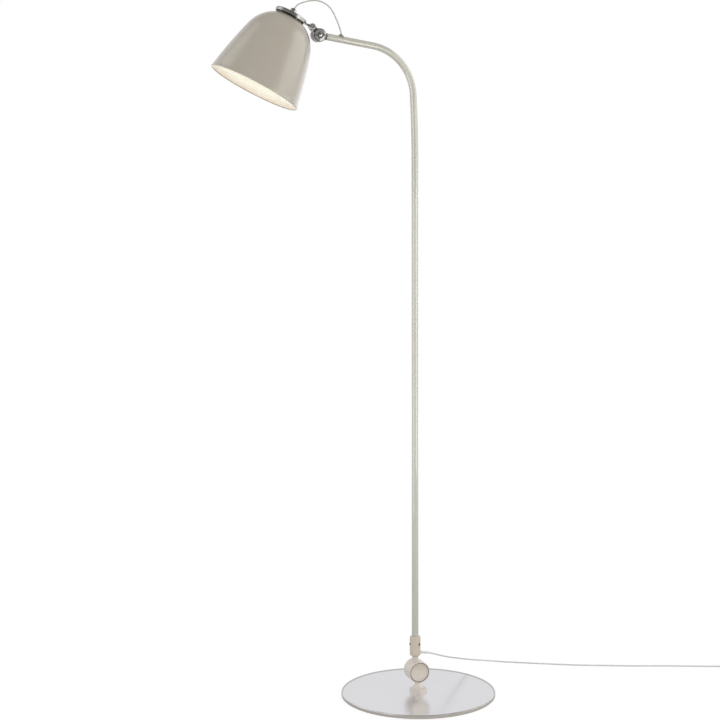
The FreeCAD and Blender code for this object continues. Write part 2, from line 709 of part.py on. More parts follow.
def make_pole():
    """The straight lower tube, the bent upper tube with its arm, and the joiner inside their seam."""
    inner = "(tube_diameter / 2 - tube_wall)"
    keep("lower_pole_tube", turned("lower_tube", [
        (inner, TUBE_FOOT),
        ("tube_diameter / 2", TUBE_FOOT),
        ("tube_diameter / 2", SEAM),
        (inner, SEAM),
    ], pole))
    keep("pole_joiner", turned("joiner", [
        ("joiner_bore / 2", SEAM + " - joiner_length / 2"),
        (inner + " - slide_fit - 0.5", SEAM + " - joiner_length / 2"),
        (inner + " - slide_fit", SEAM + " - joiner_length / 2 + 0.5"),
        (inner + " - slide_fit", SEAM + " + joiner_length / 2 - 0.5"),
        (inner + " - slide_fit - 0.5", SEAM + " + joiner_length / 2"),
        ("joiner_bore / 2", SEAM + " + joiner_length / 2"),
    ], pole))
    bent = doc.addObject("PartDesign::Body", "upper_tube_blank")
    bent.Placement = at(0, pole_y, path.foot)
    line = sketch_on(bent, "upper_tube_line", "XZ_Plane")
    down = lambda point: Vector(point[0], point[1] - path.foot, 0)
    start = Vector(0, 0, 0)
    bow_start = down((0, path.bow_start))
    bow_end, bend_end, arm_end = down(path.bow_end), down(path.bend_end), down(path.arm_end)
    line.addGeometry(Part.LineSegment(start, bow_start))
    line.addGeometry(Part.Arc(bow_start, down(path.bow_middle()), bow_end))
    line.addGeometry(Part.Arc(bow_end, down(path.bend_middle()), bend_end))
    line.addGeometry(Part.LineSegment(bend_end, arm_end))
    line.addConstraint(Sketcher.Constraint("Coincident", 0, 1, -1, 1))
    line.addConstraint(Sketcher.Constraint("Vertical", 0))
    line.addConstraint(Sketcher.Constraint("Tangent", 0, 2, 1, 1))
    line.addConstraint(Sketcher.Constraint("Tangent", 1, 2, 2, 1))
    line.addConstraint(Sketcher.Constraint("Tangent", 2, 2, 3, 1))
    bound_to = [
        (Sketcher.Constraint("DistanceY", 0, 1, 0, 2, number("upper_straight")), "upper_straight"),
        (Sketcher.Constraint("Radius", 1, number("bow_radius")), "bow_radius"),
        (Sketcher.Constraint("Angle", 1, path.lean), "bow_angle * 1 deg"),
        (Sketcher.Constraint("Radius", 2, number("bend_radius")), "bend_radius"),
        (Sketcher.Constraint("Angle", 2, path.turn - path.lean), "(90 - arm_rise - bow_angle) * 1 deg"),
        (Sketcher.Constraint("Distance", 3, number("arm_length")), "arm_length"),
    ]
    for constraint, text in bound_to:
        index = line.addConstraint(constraint)
        line.setExpression("Constraints[%d]" % index, bound(text))
    ring = sketch_on(bent, "upper_tube_ring", "XY_Plane")
    draw_circle(ring, "0", "0", "tube_diameter / 2")
    draw_circle(ring, "0", "0", inner)
    pipe = bent.newObject("PartDesign::AdditivePipe", "upper_tube_pipe")
    pipe.Profile = ring
    pipe.Spine = line
    entry = arm_frame.multiply(at(number("joint_reach + entry_from_end"), 0, 0))
    hole = rod("entry_hole", "entry_hole_diameter / 2", "tube_diameter", entry)
    keep("upper_pole_tube", cut_away("upper_tube", bent, hole))
    cone = turned("entry_cone", [
        ("0", "tube_diameter / 4"),
        ("entry_base_diameter / 2 + 0.6", "tube_diameter / 4"),
        ("entry_base_diameter / 2", "tube_diameter / 2 + 0.4", "-9"),
        ("entry_top_diameter / 2", "tube_diameter / 2 + entry_height - 0.4"),
        ("entry_top_diameter / 2 - 0.4", "tube_diameter / 2 + entry_height"),
        ("0", "tube_diameter / 2 + entry_height"),
    ], entry)
    arm_rod = rod("entry_saddle", "tube_diameter / 2 + 0.02", "entry_base_diameter * 3",
                  entry.multiply(at(-number("entry_base_diameter") * 1.5, 0, 0)).multiply(ALONG_X))
    saddle = cut_away("entry_shell", cone, arm_rod)
    plug = rod("entry_plug", "entry_hole_diameter / 2 - 0.05", "tube_wall + 1.4",
               entry.multiply(at(0, 0, number("tube_diameter / 2 - tube_wall - 0.9"))))
    bore = rod("entry_bore", "flex_diameter / 2 + 0.1", "tube_diameter * 2", entry)
    keep("arm_cord_grommet", cut_away("entry", joined("entry_whole", [saddle, plug]), bore))


def make_inner_flex():
    """The flex inside the pole, from the arm's grommet to the sleeve's strain relief."""
    radius = number("flex_diameter / 2")
    way = Vector(path.way[0], 0, path.way[1])
    up = Vector(path.way[1], 0, -path.way[0])
    entry = path.along_arm(number("arm_length - entry_from_end"))
    centre = Vector(entry[0], pole_y, entry[1])
    start = centre + up * number("tube_diameter / 2 - tube_wall - 1.2")
    small = number("sleeve_cavity_diameter / 2 - flex_diameter / 2 - 0.2")
    first = centre + up * small
    first_end = centre - way * small
    slant = math.sqrt(0.5)
    middle = first_end + up * small + (way * slant - up * slant) * small
    point = lambda pair: Vector(pair[0], pole_y, pair[1])
    bend_end, bow_end, bow_start = point(path.bend_end), point(path.bow_end), point((0, path.bow_start))
    slope = math.radians(number("cord_hole_slope"))
    across = small * (1 - math.sin(slope))
    exit_level = number(SLEEVE_FOOT + " + cord_hole_rise")
    turn_level = exit_level - across * math.tan(slope) + small * math.cos(slope)
    half_way = (math.pi / 2 + slope) / 2
    turn_start = Vector(0, pole_y, turn_level)
    turn_end = Vector(across, pole_y, turn_level - small * math.cos(slope))
    middle_across = small - small * math.sin(half_way)
    turn_middle = Vector(middle_across, pole_y, turn_level - small * math.cos(half_way))
    end = outlet.multVec(Vector(number("sleeve_cavity_diameter / 2 + 0.1"), 0, 0))
    edges = [
        Part.LineSegment(start, first).toShape(),
        Part.Arc(first, middle, first_end).toShape(),
        Part.LineSegment(first_end, bend_end).toShape(),
        Part.Arc(bend_end, point(path.bend_middle()), bow_end).toShape(),
        Part.Arc(bow_end, point(path.bow_middle()), bow_start).toShape(),
        Part.LineSegment(bow_start, turn_start).toShape(),
        Part.Arc(turn_start, turn_middle, turn_end).toShape(),
        Part.LineSegment(turn_end, end).toShape(),
    ]
    keep("inner_flex", plain("flex", wire_tube(edges, start, up, radius)))


def make_head_joint():
    """The chrome hinge at the end of the arm, with its half-lapped halves, screw and nut."""
    inner = "joint_washer / 2"
    outer = "(joint_washer / 2 + joint_half)"
    front_disc = turned("arm_disc", [
        ("joint_screw_diameter / 2 + running_fit", inner),
        ("joint_diameter / 2 - 0.5", inner),
        ("joint_diameter / 2", inner + " + 0.5"),
        ("joint_diameter / 2", outer + " - joint_crown - joint_round", "joint_round"),
        ("joint_diameter / 2 - joint_round", outer + " - joint_crown", "joint_dome_radius"),
        ("joint_head_recess / 2 + 0.4", outer),
        ("joint_head_recess / 2", outer + " - 0.4"),
        ("joint_head_recess / 2", outer + " - joint_head_depth"),
        ("joint_screw_diameter / 2 + running_fit", outer + " - joint_head_depth"),
    ], joint_front)
    neck = turned("arm_neck", [
        ("0", "joint_diameter / 2 - 3"),
        ("tube_diameter / 2 - 0.4", "joint_diameter / 2 - 3"),
        ("tube_diameter / 2 - 0.4", "joint_reach - 0.8"),
        ("tube_diameter / 2", "joint_reach - 0.4"),
        ("tube_diameter / 2", "joint_reach"),
        ("tube_diameter / 2 - tube_wall - slide_fit", "joint_reach"),
        ("tube_diameter / 2 - tube_wall - slide_fit", "joint_reach + spigot_length - 1"),
        ("tube_diameter / 2 - tube_wall - slide_fit - 1", "joint_reach + spigot_length"),
        ("0", "joint_reach + spigot_length"),
    ], arm_frame.multiply(ALONG_X))
    back_room = joint_front.multiply(at(0, 0, -number("joint_half * 2 + joint_washer / 2")))
    room_deep = "joint_half * 2 + joint_washer"
    room = rod("arm_room", "joint_diameter / 2 + joint_clearance", room_deep, back_room)
    cleared_neck = cut_away("arm_neck_cleared", neck, room)
    keep("head_joint_arm_half", joined("arm_half", [front_disc, cleared_neck]))
    rear_disc = turned("head_disc", [
        ("joint_screw_diameter / 2 + running_fit", inner),
        ("joint_diameter / 2 - 0.5", inner),
        ("joint_diameter / 2", inner + " + 0.5"),
        ("joint_diameter / 2", outer + " - joint_crown - joint_round", "joint_round"),
        ("joint_diameter / 2 - joint_round", outer + " - joint_crown", "joint_dome_radius"),
        ("joint_nut_pocket / 2", outer),
        ("joint_nut_pocket / 2", outer + " - joint_nut_depth"),
        ("joint_screw_diameter / 2 + running_fit", outer + " - joint_nut_depth"),
    ], joint_front.multiply(Placement(Vector(0, 0, 0), Rotation(Vector(1, 0, 0), 180))))
    half_eye = "eye_diameter / 2"
    lug_bar = cut_flat("fork_bar", [
        ("joint_diameter / 2 - 2.5", "-" + half_eye + " + 0.6"),
        (LUG_LENGTH, "-" + half_eye),
        (LUG_LENGTH, half_eye),
        ("joint_diameter / 2 - 2.5", half_eye + " - 0.6"),
    ], "fork_width", lug_frame)
    lug_place = eye_front.multiply(at(0, 0, -number("fork_width / 2")))
    lug_round = rod("fork_round", half_eye, "fork_width", lug_place)
    fork = joined("fork_blank", [lug_bar, lug_round])
    slot_corner = at(number("slot_from_joint"), -number("tongue_width / 2 + slide_fit"), -20)
    slot_place = lug_frame.multiply(slot_corner)
    slot = block("fork_slot", "eye_diameter * 3", "tongue_width + 2 * slide_fit", "40", slot_place)
    front_room = joint_front.multiply(at(0, 0, -number("joint_washer / 2")))
    clear = rod("fork_room", "joint_diameter / 2 + joint_clearance", "joint_half * 2", front_room)
    pin_hole = rod("fork_hole", "eye_screw_diameter / 2 + slide_fit", "fork_width * 2",
                   eye_front.multiply(at(0, 0, -number("fork_width"))))
    tools = joined("fork_tools", [slot, clear, pin_hole])
    keep("head_joint_shade_half", joined("shade_half", [rear_disc, cut_away("fork", fork, tools)]))
    keep("head_joint_washer", turned("joint_ring", [
        ("joint_screw_diameter / 2 + running_fit", "-joint_washer / 2"),
        ("joint_washer_diameter / 2", "-joint_washer / 2"),
        ("joint_washer_diameter / 2", "joint_washer / 2"),
        ("joint_screw_diameter / 2 + running_fit", "joint_washer / 2"),
    ], joint_front))
    seat = "(" + outer + " - joint_head_depth)"
    nut_seat = "(" + outer + " - joint_nut_depth)"
    dome = "(joint_screw_head / 2)"
    keep("head_joint_screw", turned("joint_screw", [
        ("0", "-" + nut_seat + " - joint_nut_height - 0.4"),
        ("joint_screw_diameter / 2", "-" + nut_seat + " - joint_nut_height - 0.4"),
        ("joint_screw_diameter / 2", seat),
        ("joint_screw_head / 2", seat),
        ("joint_screw_head / 2", seat + " + joint_screw_rim", dome),
        ("joint_screw_head / 16", seat + " + joint_screw_rim + joint_screw_dome"),
        ("0", seat + " + joint_screw_rim + joint_screw_dome"),
    ], joint_front))
    nut_place = joint_front.multiply(at(0, 0, -number(nut_seat + " + joint_nut_height")))
    nut = hexagon("joint_nut_blank", "joint_nut_flats", "joint_nut_height", nut_place)
    bore = rod("joint_nut_bore", "joint_screw_diameter / 2 + thread_fit", "joint_nut_height", nut_place)
    keep("head_joint_nut", cut_away("joint_nut", nut, bore))


def make_bracket():
    """The bar from the crown of the shade to the fork, with the screw through its eye."""
    bar = cut_flat("bracket_bar", [
        ("0", "-bracket_width / 2"),
        ("bracket_shoulder", "-bracket_width / 2"),
        ("bracket_waist", "-tongue_width / 2"),
        ("eye_from_axis", "-tongue_width / 2"),
        ("eye_from_axis", "tongue_width / 2"),
        ("bracket_waist", "tongue_width / 2"),
        ("bracket_shoulder", "bracket_width / 2"),
        ("0", "bracket_width / 2"),
    ], "bracket_thickness", head, "XY_Plane")
    boss_place = head.multiply(at(0, 0, -number("bracket_thickness / 2")))
    boss = rod("bracket_boss", "bracket_boss_diameter / 2", "bracket_thickness", boss_place)
    eye_place = eye_front.multiply(at(0, 0, -number("tongue_width / 2")))
    eye = rod("bracket_eye", "eye_diameter / 2 - 0.1", "tongue_width", eye_place)
    through = head.multiply(at(0, 0, -number("bracket_thickness")))
    crown_hole = rod("bracket_hole", "crown_hole_diameter / 2", "bracket_thickness * 2", through)
    pin_hole = rod("bracket_pin_hole", "eye_screw_diameter / 2 + slide_fit", "fork_width * 2",
                   eye_front.multiply(at(0, 0, -number("fork_width"))))
    whole = joined("bracket_whole", [bar, boss, eye])
    keep("shade_bracket", cut_away("bracket", whole, joined("bracket_tools", [crown_hole, pin_hole])))
    side = "fork_width / 2"
    screw = turned("eye_screw_blank", [
        ("0", "-" + side + " - eye_nut_height + 0.4"),
        ("eye_screw_diameter / 2", "-" + side + " - eye_nut_height + 0.4"),
        ("eye_screw_diameter / 2", side),
        ("eye_screw_head / 2", side),
        ("eye_screw_head / 2", side + " + eye_screw_height - 1.4", "1.4"),
        ("eye_screw_head / 2 - 1.4", side + " + eye_screw_height"),
        ("0", side + " + eye_screw_height"),
    ], eye_front)
    socket = hexagon("eye_screw_socket", "eye_socket_flats", "eye_screw_height",
                     eye_front.multiply(at(0, 0, number(side + " + eye_screw_height / 3"))))
    keep("bracket_screw", cut_away("eye_screw", screw, socket))
    nut_place = eye_front.multiply(at(0, 0, -number(side + " + eye_nut_height")))
    nut = hexagon("eye_nut_blank", "eye_nut_flats", "eye_nut_height", nut_place)
    bore_place = nut_place.multiply(at(0, 0, 0.3))
    bore = rod("eye_nut_bore", "eye_screw_diameter / 2 + thread_fit", "eye_nut_height", bore_place)
    keep("bracket_screw_nut", cut_away("eye_nut", nut, bore))


def make_crown():
    """Cap, gasket, bushing and the hollow nipple that clamps them on the shade."""
    under = "(bracket_thickness / 2)"
    cap = turned("cap_blank", [
        ("crown_hole_diameter / 2", under),
        ("cap_diameter / 2 - cap_wall", under),
        ("cap_diameter / 2 - cap_wall", under + " - cap_skirt"),
        ("cap_diameter / 2", under + " - cap_skirt"),
        ("cap_diameter / 2", under + " + cap_wall - cap_round", "cap_round"),
        ("cap_diameter / 2 - cap_round", under + " + cap_wall"),
        ("crown_hole_diameter / 2", under + " + cap_wall"),
    ], head)
    notch_across = -number("bracket_width / 2 + 0.2")
    notch_place = head.multiply(at(number("cap_diameter / 2 - 6"), notch_across, -20 + number(under)))
    notch = block("cap_notch", "20", "bracket_width + 0.4", "20", notch_place)
    keep("crown_cap", cut_away("cap", cap, notch))
    top = "(-bracket_thickness / 2)"
    keep("crown_gasket", turned("gasket", [
        ("crown_hole_diameter / 2", top + " - gasket_thickness"),
        ("gasket_diameter / 2", top + " - gasket_thickness"),
        ("gasket_diameter / 2", top),
        ("crown_hole_diameter / 2", top),
    ], head))
    foot = "(bracket_thickness / 2 + cap_wall)"
    keep("cord_bushing", turned("bushing", [
        ("nipple_diameter / 2 + thread_fit", foot),
        ("bushing_diameter / 2", foot),
        ("bushing_diameter / 2", foot + " + bushing_height - bushing_round", "bushing_round"),
        ("bushing_diameter / 2 - bushing_round", foot + " + bushing_height"),
        ("flex_diameter / 2 + 0.1", foot + " + bushing_height"),
        ("flex_diameter / 2 + 0.1", foot + " + nipple_above_cap + 0.3"),
        ("nipple_diameter / 2 + thread_fit", foot + " + nipple_above_cap + 0.3"),
    ], head))
    crown = "(-bracket_thickness / 2 - gasket_thickness)"
    low = "(" + crown + " - nipple_below_crown)"
    keep("crown_nipple", turned("nipple", [
        ("nipple_bore / 2", low),
        ("nipple_diameter / 2", low),
        ("nipple_diameter / 2", foot + " + nipple_above_cap"),
        ("nipple_bore / 2", foot + " + nipple_above_cap"),
    ], head))
    nut_place = head.multiply(at(0, 0, number(crown + " - shade_wall - crown_nut_height")))
    nut = hexagon("crown_nut_blank", "crown_nut_flats", "crown_nut_height", nut_place)
    bore = rod("crown_nut_bore", "nipple_diameter / 2 + thread_fit", "crown_nut_height", nut_place)
    keep("crown_nut", cut_away("crown_nut_cut", nut, bore))


def make_shade():
    """The spun bell, one wall thick, with a bead round its rim."""
    crown = number("-bracket_thickness / 2 - gasket_thickness")
    place = head.multiply(at(0, 0, crown - number("shade_height")))
    in_x = "shade_wall * cos(shoulder_slope * 1 deg)"
    in_z = "shade_wall * sin(shoulder_slope * 1 deg)"
    inner_shoulder = "-(shoulder_radius - shade_wall)"
    inner_skirt = "-(skirt_radius - shade_wall)"
    shell = turned("shade_shell", [
        ("crown_hole_diameter / 2", "shade_height - shade_wall"),
        ("shade_crown_diameter / 2 - shade_wall / 2", "shade_height - shade_wall", inner_shoulder),
        ("shoulder_diameter / 2 - " + in_x, "shoulder_height - " + in_z, inner_skirt),
        ("shade_diameter / 2 - shade_wall", "0"),
        ("shade_diameter / 2", "0", "skirt_radius"),
        ("shoulder_diameter / 2", "shoulder_height", "shoulder_radius"),
        ("shade_crown_diameter / 2", "shade_height"),
        ("crown_hole_diameter / 2", "shade_height"),
    ], place)
    bead = doc.addObject("Part::Torus", "rim_bead")
    bead.setExpression("Radius1", bound("shade_diameter / 2 - shade_wall / 2"))
    bead.setExpression("Radius2", bound("rim_bead / 2"))
    bead.Placement = place
    keep("shade", joined("shade_whole", [shell, bead]))


def make_lampholder():
    """The lampholder under the crown, its contact block and the bulb."""
    top = "(-bracket_thickness / 2 - gasket_thickness - shade_wall - crown_nut_height)"
    foot = "(" + top + " - holder_length)"
    keep("lampholder", turned("holder", [
        ("nipple_diameter / 2 + thread_fit", top),
        ("holder_top_diameter / 2", top),
        ("holder_diameter / 2", top + " - holder_cone"),
        ("holder_diameter / 2", foot + " + 1"),
        ("holder_diameter / 2 - 1", foot),
        ("holder_bore / 2", foot),
        ("holder_bore / 2", foot + " + holder_bore_depth + contact_thickness"),
        ("holder_top_diameter / 2 - 1", top + " - holder_cone / 2 - holder_wall"),
        ("nipple_diameter / 2 + thread_fit", top + " - holder_cone / 2 - holder_wall"),
    ], head))
    keep("lampholder_contact", turned("contact", [
        ("0", foot + " + holder_bore_depth"),
        ("holder_bore / 2 - 0.1", foot + " + holder_bore_depth"),
        ("holder_bore / 2 - 0.1", foot + " + holder_bore_depth + contact_thickness - 0.1"),
        ("0", foot + " + holder_bore_depth + contact_thickness - 0.1"),
    ], head))
    seat = "(" + foot + " + holder_bore_depth - 0.1)"
    neck = "(" + seat + " - bulb_cap_length)"
    keep("bulb_cap", turned("screw_cap", [
        ("0", neck),
        ("bulb_cap_diameter / 2", neck),
        ("bulb_cap_diameter / 2", seat + " - 5"),
        ("bulb_cap_diameter / 2 - 4", seat + " - 2.2"),
        ("4.5", seat + " - 1.6"),
        ("3.5", seat),
        ("0", seat),
    ], head))
    globe = number("globe_diameter / 2")
    wall = number("glass_wall")
    stem = number("globe_neck_diameter / 2")
    drop = math.sqrt(globe * globe - stem * stem)
    inner_globe = globe - wall
    inner_stem = stem - wall
    inner_drop = math.sqrt(inner_globe * inner_globe - inner_stem * inner_stem)
    centre = number("globe_drop")
    edges = [
        Part.LineSegment(Vector(stem, 0, 0), Vector(stem, 0, -centre + drop)).toShape(),
        Part.Arc(Vector(stem, 0, -centre + drop), Vector(globe, 0, -centre),
                 Vector(0, 0, -centre - globe)).toShape(),
        Part.LineSegment(Vector(0, 0, -centre - globe), Vector(0, 0, -centre - inner_globe)).toShape(),
        Part.Arc(Vector(0, 0, -centre - inner_globe), Vector(inner_globe, 0, -centre),
                 Vector(inner_stem, 0, -centre + inner_drop)).toShape(),
        Part.LineSegment(Vector(inner_stem, 0, -centre + inner_drop), Vector(inner_stem, 0, 0)).toShape(),
        Part.LineSegment(Vector(inner_stem, 0, 0), Vector(stem, 0, 0)).toShape(),
    ]
    glass = Part.Face(Part.Wire(edges)).revolve(Vector(0, 0, 0), Vector(0, 0, 1), 360)
    keep("bulb_glass", plain("globe", glass, head.multiply(at(0, 0, number(neck)))))
    lead_foot = number(top + " - holder_cone / 2 - holder_wall - 2")
    lead_top = number("bracket_thickness / 2 + cap_wall + bushing_height - 0.1")
    lead_place = head.multiply(at(0, 0, lead_foot))
    keep("holder_lead", rod("lead", "flex_diameter / 2", "%.9f" % (lead_top - lead_foot), lead_place))


def make_head_cord():
    """The short loop of flex from the bushing over the hinge and down into the arm."""
    start = head.multVec(Vector(0, 0, number("bracket_thickness / 2 + cap_wall + bushing_height")))
    entry_level = number("tube_diameter / 2 + entry_height")
    entry = arm_frame.multiply(at(number("joint_reach + entry_from_end"), 0, entry_level))
    end = entry.multVec(Vector(0, 0, 0))
    before_end = entry.multVec(Vector(-3.8, 0, 9.4))
    hinge_centre = joint_front.multVec(Vector(0, 0, 0))
    loop = [(-41.0, 54.8), (-27.4, 59.8), (-8.3, 63.4), (9.4, 60.2), (25.3, 48.7), (34.4, 30.3)]
    route = [start] + [hinge_centre + Vector(across, 0, up) for across, up in loop] + [before_end, end]
    print("head cord")
    keep("head_cord", plain("head_loop", tube_between(route, number("flex_diameter / 2"))))
    return route


FLOOR_LEVEL = number("cord_diameter / 2")
FLOOR_ROUTE = [
    (40.5, 17.0, 74.0),
    (56.0, 25.0, 68.0),
    (75.0, 38.5, 60.0),
    (97.0, 61.0, 49.5),
    (129.0, 92.0, 35.0),
    (161.5, 119.0, 21.5),
    (189.5, 143.0, 10.0),
    (209.0, 152.5, 4.0),
    (225.0, 150.5, FLOOR_LEVEL + 0.2),
    (239.0, 140.5, FLOOR_LEVEL),
    (257.0, 130.0, FLOOR_LEVEL),
    (288.0, 111.0, FLOOR_LEVEL),
    (322.0, 91.0, FLOOR_LEVEL),
    (373.0, 60.5, FLOOR_LEVEL),
    (427.0, 36.0, FLOOR_LEVEL),
    (480.0, 11.0, FLOOR_LEVEL),
    (533.0, -8.0, FLOOR_LEVEL),
    (584.0, -31.0, FLOOR_LEVEL),
    (630.0, -49.5, FLOOR_LEVEL),
]
COIL_TANGENT = (673.0, -69.0)


class Coil:
    """Four layers of turns that spiral in and out again, clockwise from above."""

    def __init__(self):
        last = FLOOR_ROUTE[-1]
        arrival = Vector(COIL_TANGENT[0] - last[0], COIL_TANGENT[1] - last[1], 0).normalize()
        self.outside = Vector(-arrival.y, arrival.x, 0)
        self.radius = number("coil_radius")
        self.pitch = number("coil_pitch")
        self.layer_turns = COIL_TURNS / COIL_LAYERS
        self.low = FLOOR_LEVEL + number("coil_lift")
        tangent = Vector(COIL_TANGENT[0], COIL_TANGENT[1], self.low)
        self.centre = tangent - self.outside * self.radius
        self.start_angle = math.atan2(self.outside.y, self.outside.x)

    def point(self, turns):
        """The centreline after that many turns."""
        layer, part = divmod(turns / self.layer_turns, 1.0)
        inward = part if int(layer) % 2 == 0 else 1.0 - part
        depth = self.layer_turns * self.pitch * inward
        near_end = (part - 1.0) * self.layer_turns
        near_start = part * self.layer_turns
        climb = 0.0
        if near_end > -0.25 and layer < COIL_LAYERS - 1:
            climb = (near_end + 0.25) * 2
        elif near_start < 0.25 and 0 < layer < COIL_LAYERS:
            climb = (near_start - 0.25) * 2
        rise = (layer + climb) * self.pitch
        if layer >= COIL_LAYERS:
            rise = (COIL_LAYERS - 1) * self.pitch
            depth = 0.0
        angle = self.start_angle - 2 * math.pi * turns
        distance = self.radius - depth
        offset = Vector(distance * math.cos(angle), distance * math.sin(angle), rise)
        return self.centre + offset

    def way(self, turns):
        """The direction of travel there, averaged over a short stretch each side."""
        step = 0.06
        before = self.point(max(turns - step, 0.0))
        after = self.point(min(turns + step, COIL_TURNS - 1e-6))
        flat = 0.0 if turns < step or turns > COIL_TURNS - step else (after - before).z
        angle = self.start_angle - 2 * math.pi * turns
        across = Vector(math.sin(angle), -math.cos(angle), 0)
        length = (after - before).Length
        return (across * length + Vector(0, 0, flat)).normalize()


def arc_from(start, way, end):
    """The arc that leaves start along way and ends at end, and its direction there."""
    chord = end - start
    side = chord - way * chord.dot(way)
    if side.Length < 1e-6:
        return Part.LineSegment(start, end).toShape(), way
    side.normalize()
    radius = chord.dot(chord) / (2 * chord.dot(side))
    centre = start + side * radius
    middle = centre + ((start + end) / 2 - centre).normalize() * radius
    if chord.dot(way) < 0:
        middle = centre - ((start + end) / 2 - centre).normalize() * radius
    normal = way.cross(side)
    return Part.Arc(start, middle, end).toShape(), normal.cross(end - centre).normalize()


def biarc(start, start_way, end, end_way):
    """Two arcs that share a direction where they meet."""
    span = end - start
    ways = start_way + end_way
    square = 2 * (1 - start_way.dot(end_way))
    along = span.dot(ways)
    if square < 1e-9:
        reach = span.dot(span) / (4 * span.dot(end_way))
    else:
        reach = (-along + math.sqrt(along * along + square * span.dot(span))) / square
    middle = (start + start_way * reach + end - end_way * reach) / 2
    first, way = arc_from(start, start_way, middle)
    second, _ = arc_from(middle, way, end)
    return [first, second]


def coil_path(coil):
    """The coil's edges, two arcs for each quarter turn, and points along them."""
    quarters = int(round(COIL_TURNS * 4))
    edges = []
    for quarter in range(quarters):
        first = quarter / 4.0
        last = (quarter + 1) / 4.0
        finish = coil.point(min(last, COIL_TURNS))
        edges += biarc(coil.point(first), coil.way(first), finish, coil.way(last))
    return edges


def least_self_gap(edges, diameter):
    """The least gap between turns, measured on points along the centreline."""
    points = []
    for edge in edges:
        points += edge.discretize(7)[:-1]
    along = [0.0]
    for before, after in zip(points, points[1:]):
        along.append(along[-1] + (after - before).Length)
    least = 1e9
    for i, one in enumerate(points):
        for j in range(i + 1, len(points)):
            if along[j] - along[i] > 4 * diameter:
                least = min(least, (points[j] - one).Length)
    return least - diameter


def make_mains_cord():
    """The cord from the sleeve down to the floor, its coil, its tail and the plug."""
    radius = number("cord_diameter / 2")
    start = outlet.multVec(Vector(number("sleeve_diameter / 2 + relief_length"), 0, 0))
    coil = Coil()
    route = [start] + [Vector(*point) for point in FLOOR_ROUTE] + [coil.point(0.0)]
    print("mains cord")
    keep("mains_cord", plain("cord_run", tube_between(route, radius)))
    edges = coil_path(coil)
    solid = wire_tube(edges, coil.point(0.0), coil.way(0.0), radius)
    length = sum(edge.Length for edge in edges)
    gap = least_self_gap(edges, number("cord_diameter"))
    share = solid.Volume / (math.pi * radius * radius * length)
    print("coil length %.1f, least self gap %.2f, volume share %.4f" % (length, gap, share))
    keep("mains_coil", plain("coil", solid))
    tail_start = coil.point(COIL_TURNS)
    way = coil.way(COIL_TURNS)
    level = number("plug_thickness / 2")
    drop = Vector(0, 0, tail_start.z - level)
    side = Vector(-way.y, way.x, 0)
    tail = [
        tail_start,
        tail_start + way * 14.0 - drop * 0.06,
        tail_start + way * 30.0 + side * 1.0 - drop * 0.5,
        tail_start + way * 44.0 - drop,
        tail_start + way * 58.0 - drop,
    ]
    print("plug tail")
    keep("plug_tail", plain("tail", tube_between(tail, radius)))
    turn = Rotation(Vector(1, 0, 0), Vector(way.x, way.y, 0))
    make_plug(Placement(tail[-1], turn))
    make_tie(coil)


def make_tie(coil):
    """A thin band round the coil's turns, which holds them."""
    inner = number("coil_radius") - coil.layer_turns * coil.pitch - number("cord_diameter / 2 + 0.3")
    outer = number("coil_radius + cord_diameter / 2 + 0.3")
    low = number("tie_thickness") + 0.05
    high = coil.low + (COIL_LAYERS - 1) * coil.pitch + number("cord_diameter / 2 + 0.3")
    wall = number("tie_thickness")
    width = number("tie_width")
    outside = Part.makeBox(outer - inner + 2 * wall, width, high - low + 2 * wall)
    outside.translate(Vector(inner - wall, -width / 2, low - wall))
    inside = Part.makeBox(outer - inner, width, high - low)
    inside.translate(Vector(inner, -width / 2, low))
    place = Placement(Vector(coil.centre.x, coil.centre.y, 0), Rotation(Vector(0, 0, 1), 150))
    keep("coil_tie", plain("tie", outside.cut(inside), place))


def make_plug(place):
    """A flat two-pin plug, lofted from its cord end to its face, with a ribbed strain relief."""
    relief = number("plug_relief_length")
    wide, thick, long = number("plug_width"), number("plug_thickness"), number("plug_length")
    tail_wide = number("plug_tail_width")

    def section(x, width, height):
        """A flat-sided oval across the plug."""
        r = height / 2
        y = width / 2 - r
        edges = [
            Part.LineSegment(Vector(x, -y, -r), Vector(x, y, -r)).toShape(),
            Part.Arc(Vector(x, y, -r), Vector(x, y + r, 0), Vector(x, y, r)).toShape(),
            Part.LineSegment(Vector(x, y, r), Vector(x, -y, r)).toShape(),
            Part.Arc(Vector(x, -y, r), Vector(x, -y - r, 0), Vector(x, -y, -r)).toShape(),
        ]
        return Part.Wire(edges)

    sections = [
        section(relief, tail_wide, thick * 0.8),
        section(relief + long * 0.45, wide * 0.86, thick),
        section(relief + long, wide, thick),
    ]
    keep("plug_body", plain("plug", Part.makeLoft(sections, True, False), place))
    reach = number("relief_tip_diameter / 2")
    keep("plug_strain_relief", turned("plug_relief", [
        ("cord_diameter / 2 + 0.05", "-6"),
        ("relief_tip_diameter / 2", "-6"),
        ("relief_tip_diameter / 2 + 1.6", "plug_relief_length"),
        ("0", "plug_relief_length"),
        ("0", "0"),
        ("cord_diameter / 2 + 0.05", "0"),
    ], place.multiply(ALONG_X)))
    pins = []
    for side, sign in (("one", 1), ("two", -1)):
        pin_place = place.multiply(at(relief + long, sign * number("pin_spacing / 2"), 0)).multiply(ALONG_X)
        pins.append(turned("pin_" + side, [
            ("0", "0"),
            ("pin_diameter / 2", "0"),
            ("pin_diameter / 2", "pin_length - pin_diameter / 2", "pin_diameter / 2"),
            ("0", "pin_length"),
        ], pin_place))
    keep("plug_pins", together("pins", pins))


make_base()
make_tilt_hinge()
make_sleeve()
make_pole()
make_inner_flex()
make_head_joint()
make_bracket()
make_crown()
make_shade()
make_lampholder()
make_head_cord()
make_mains_cord()
doc.recompute()

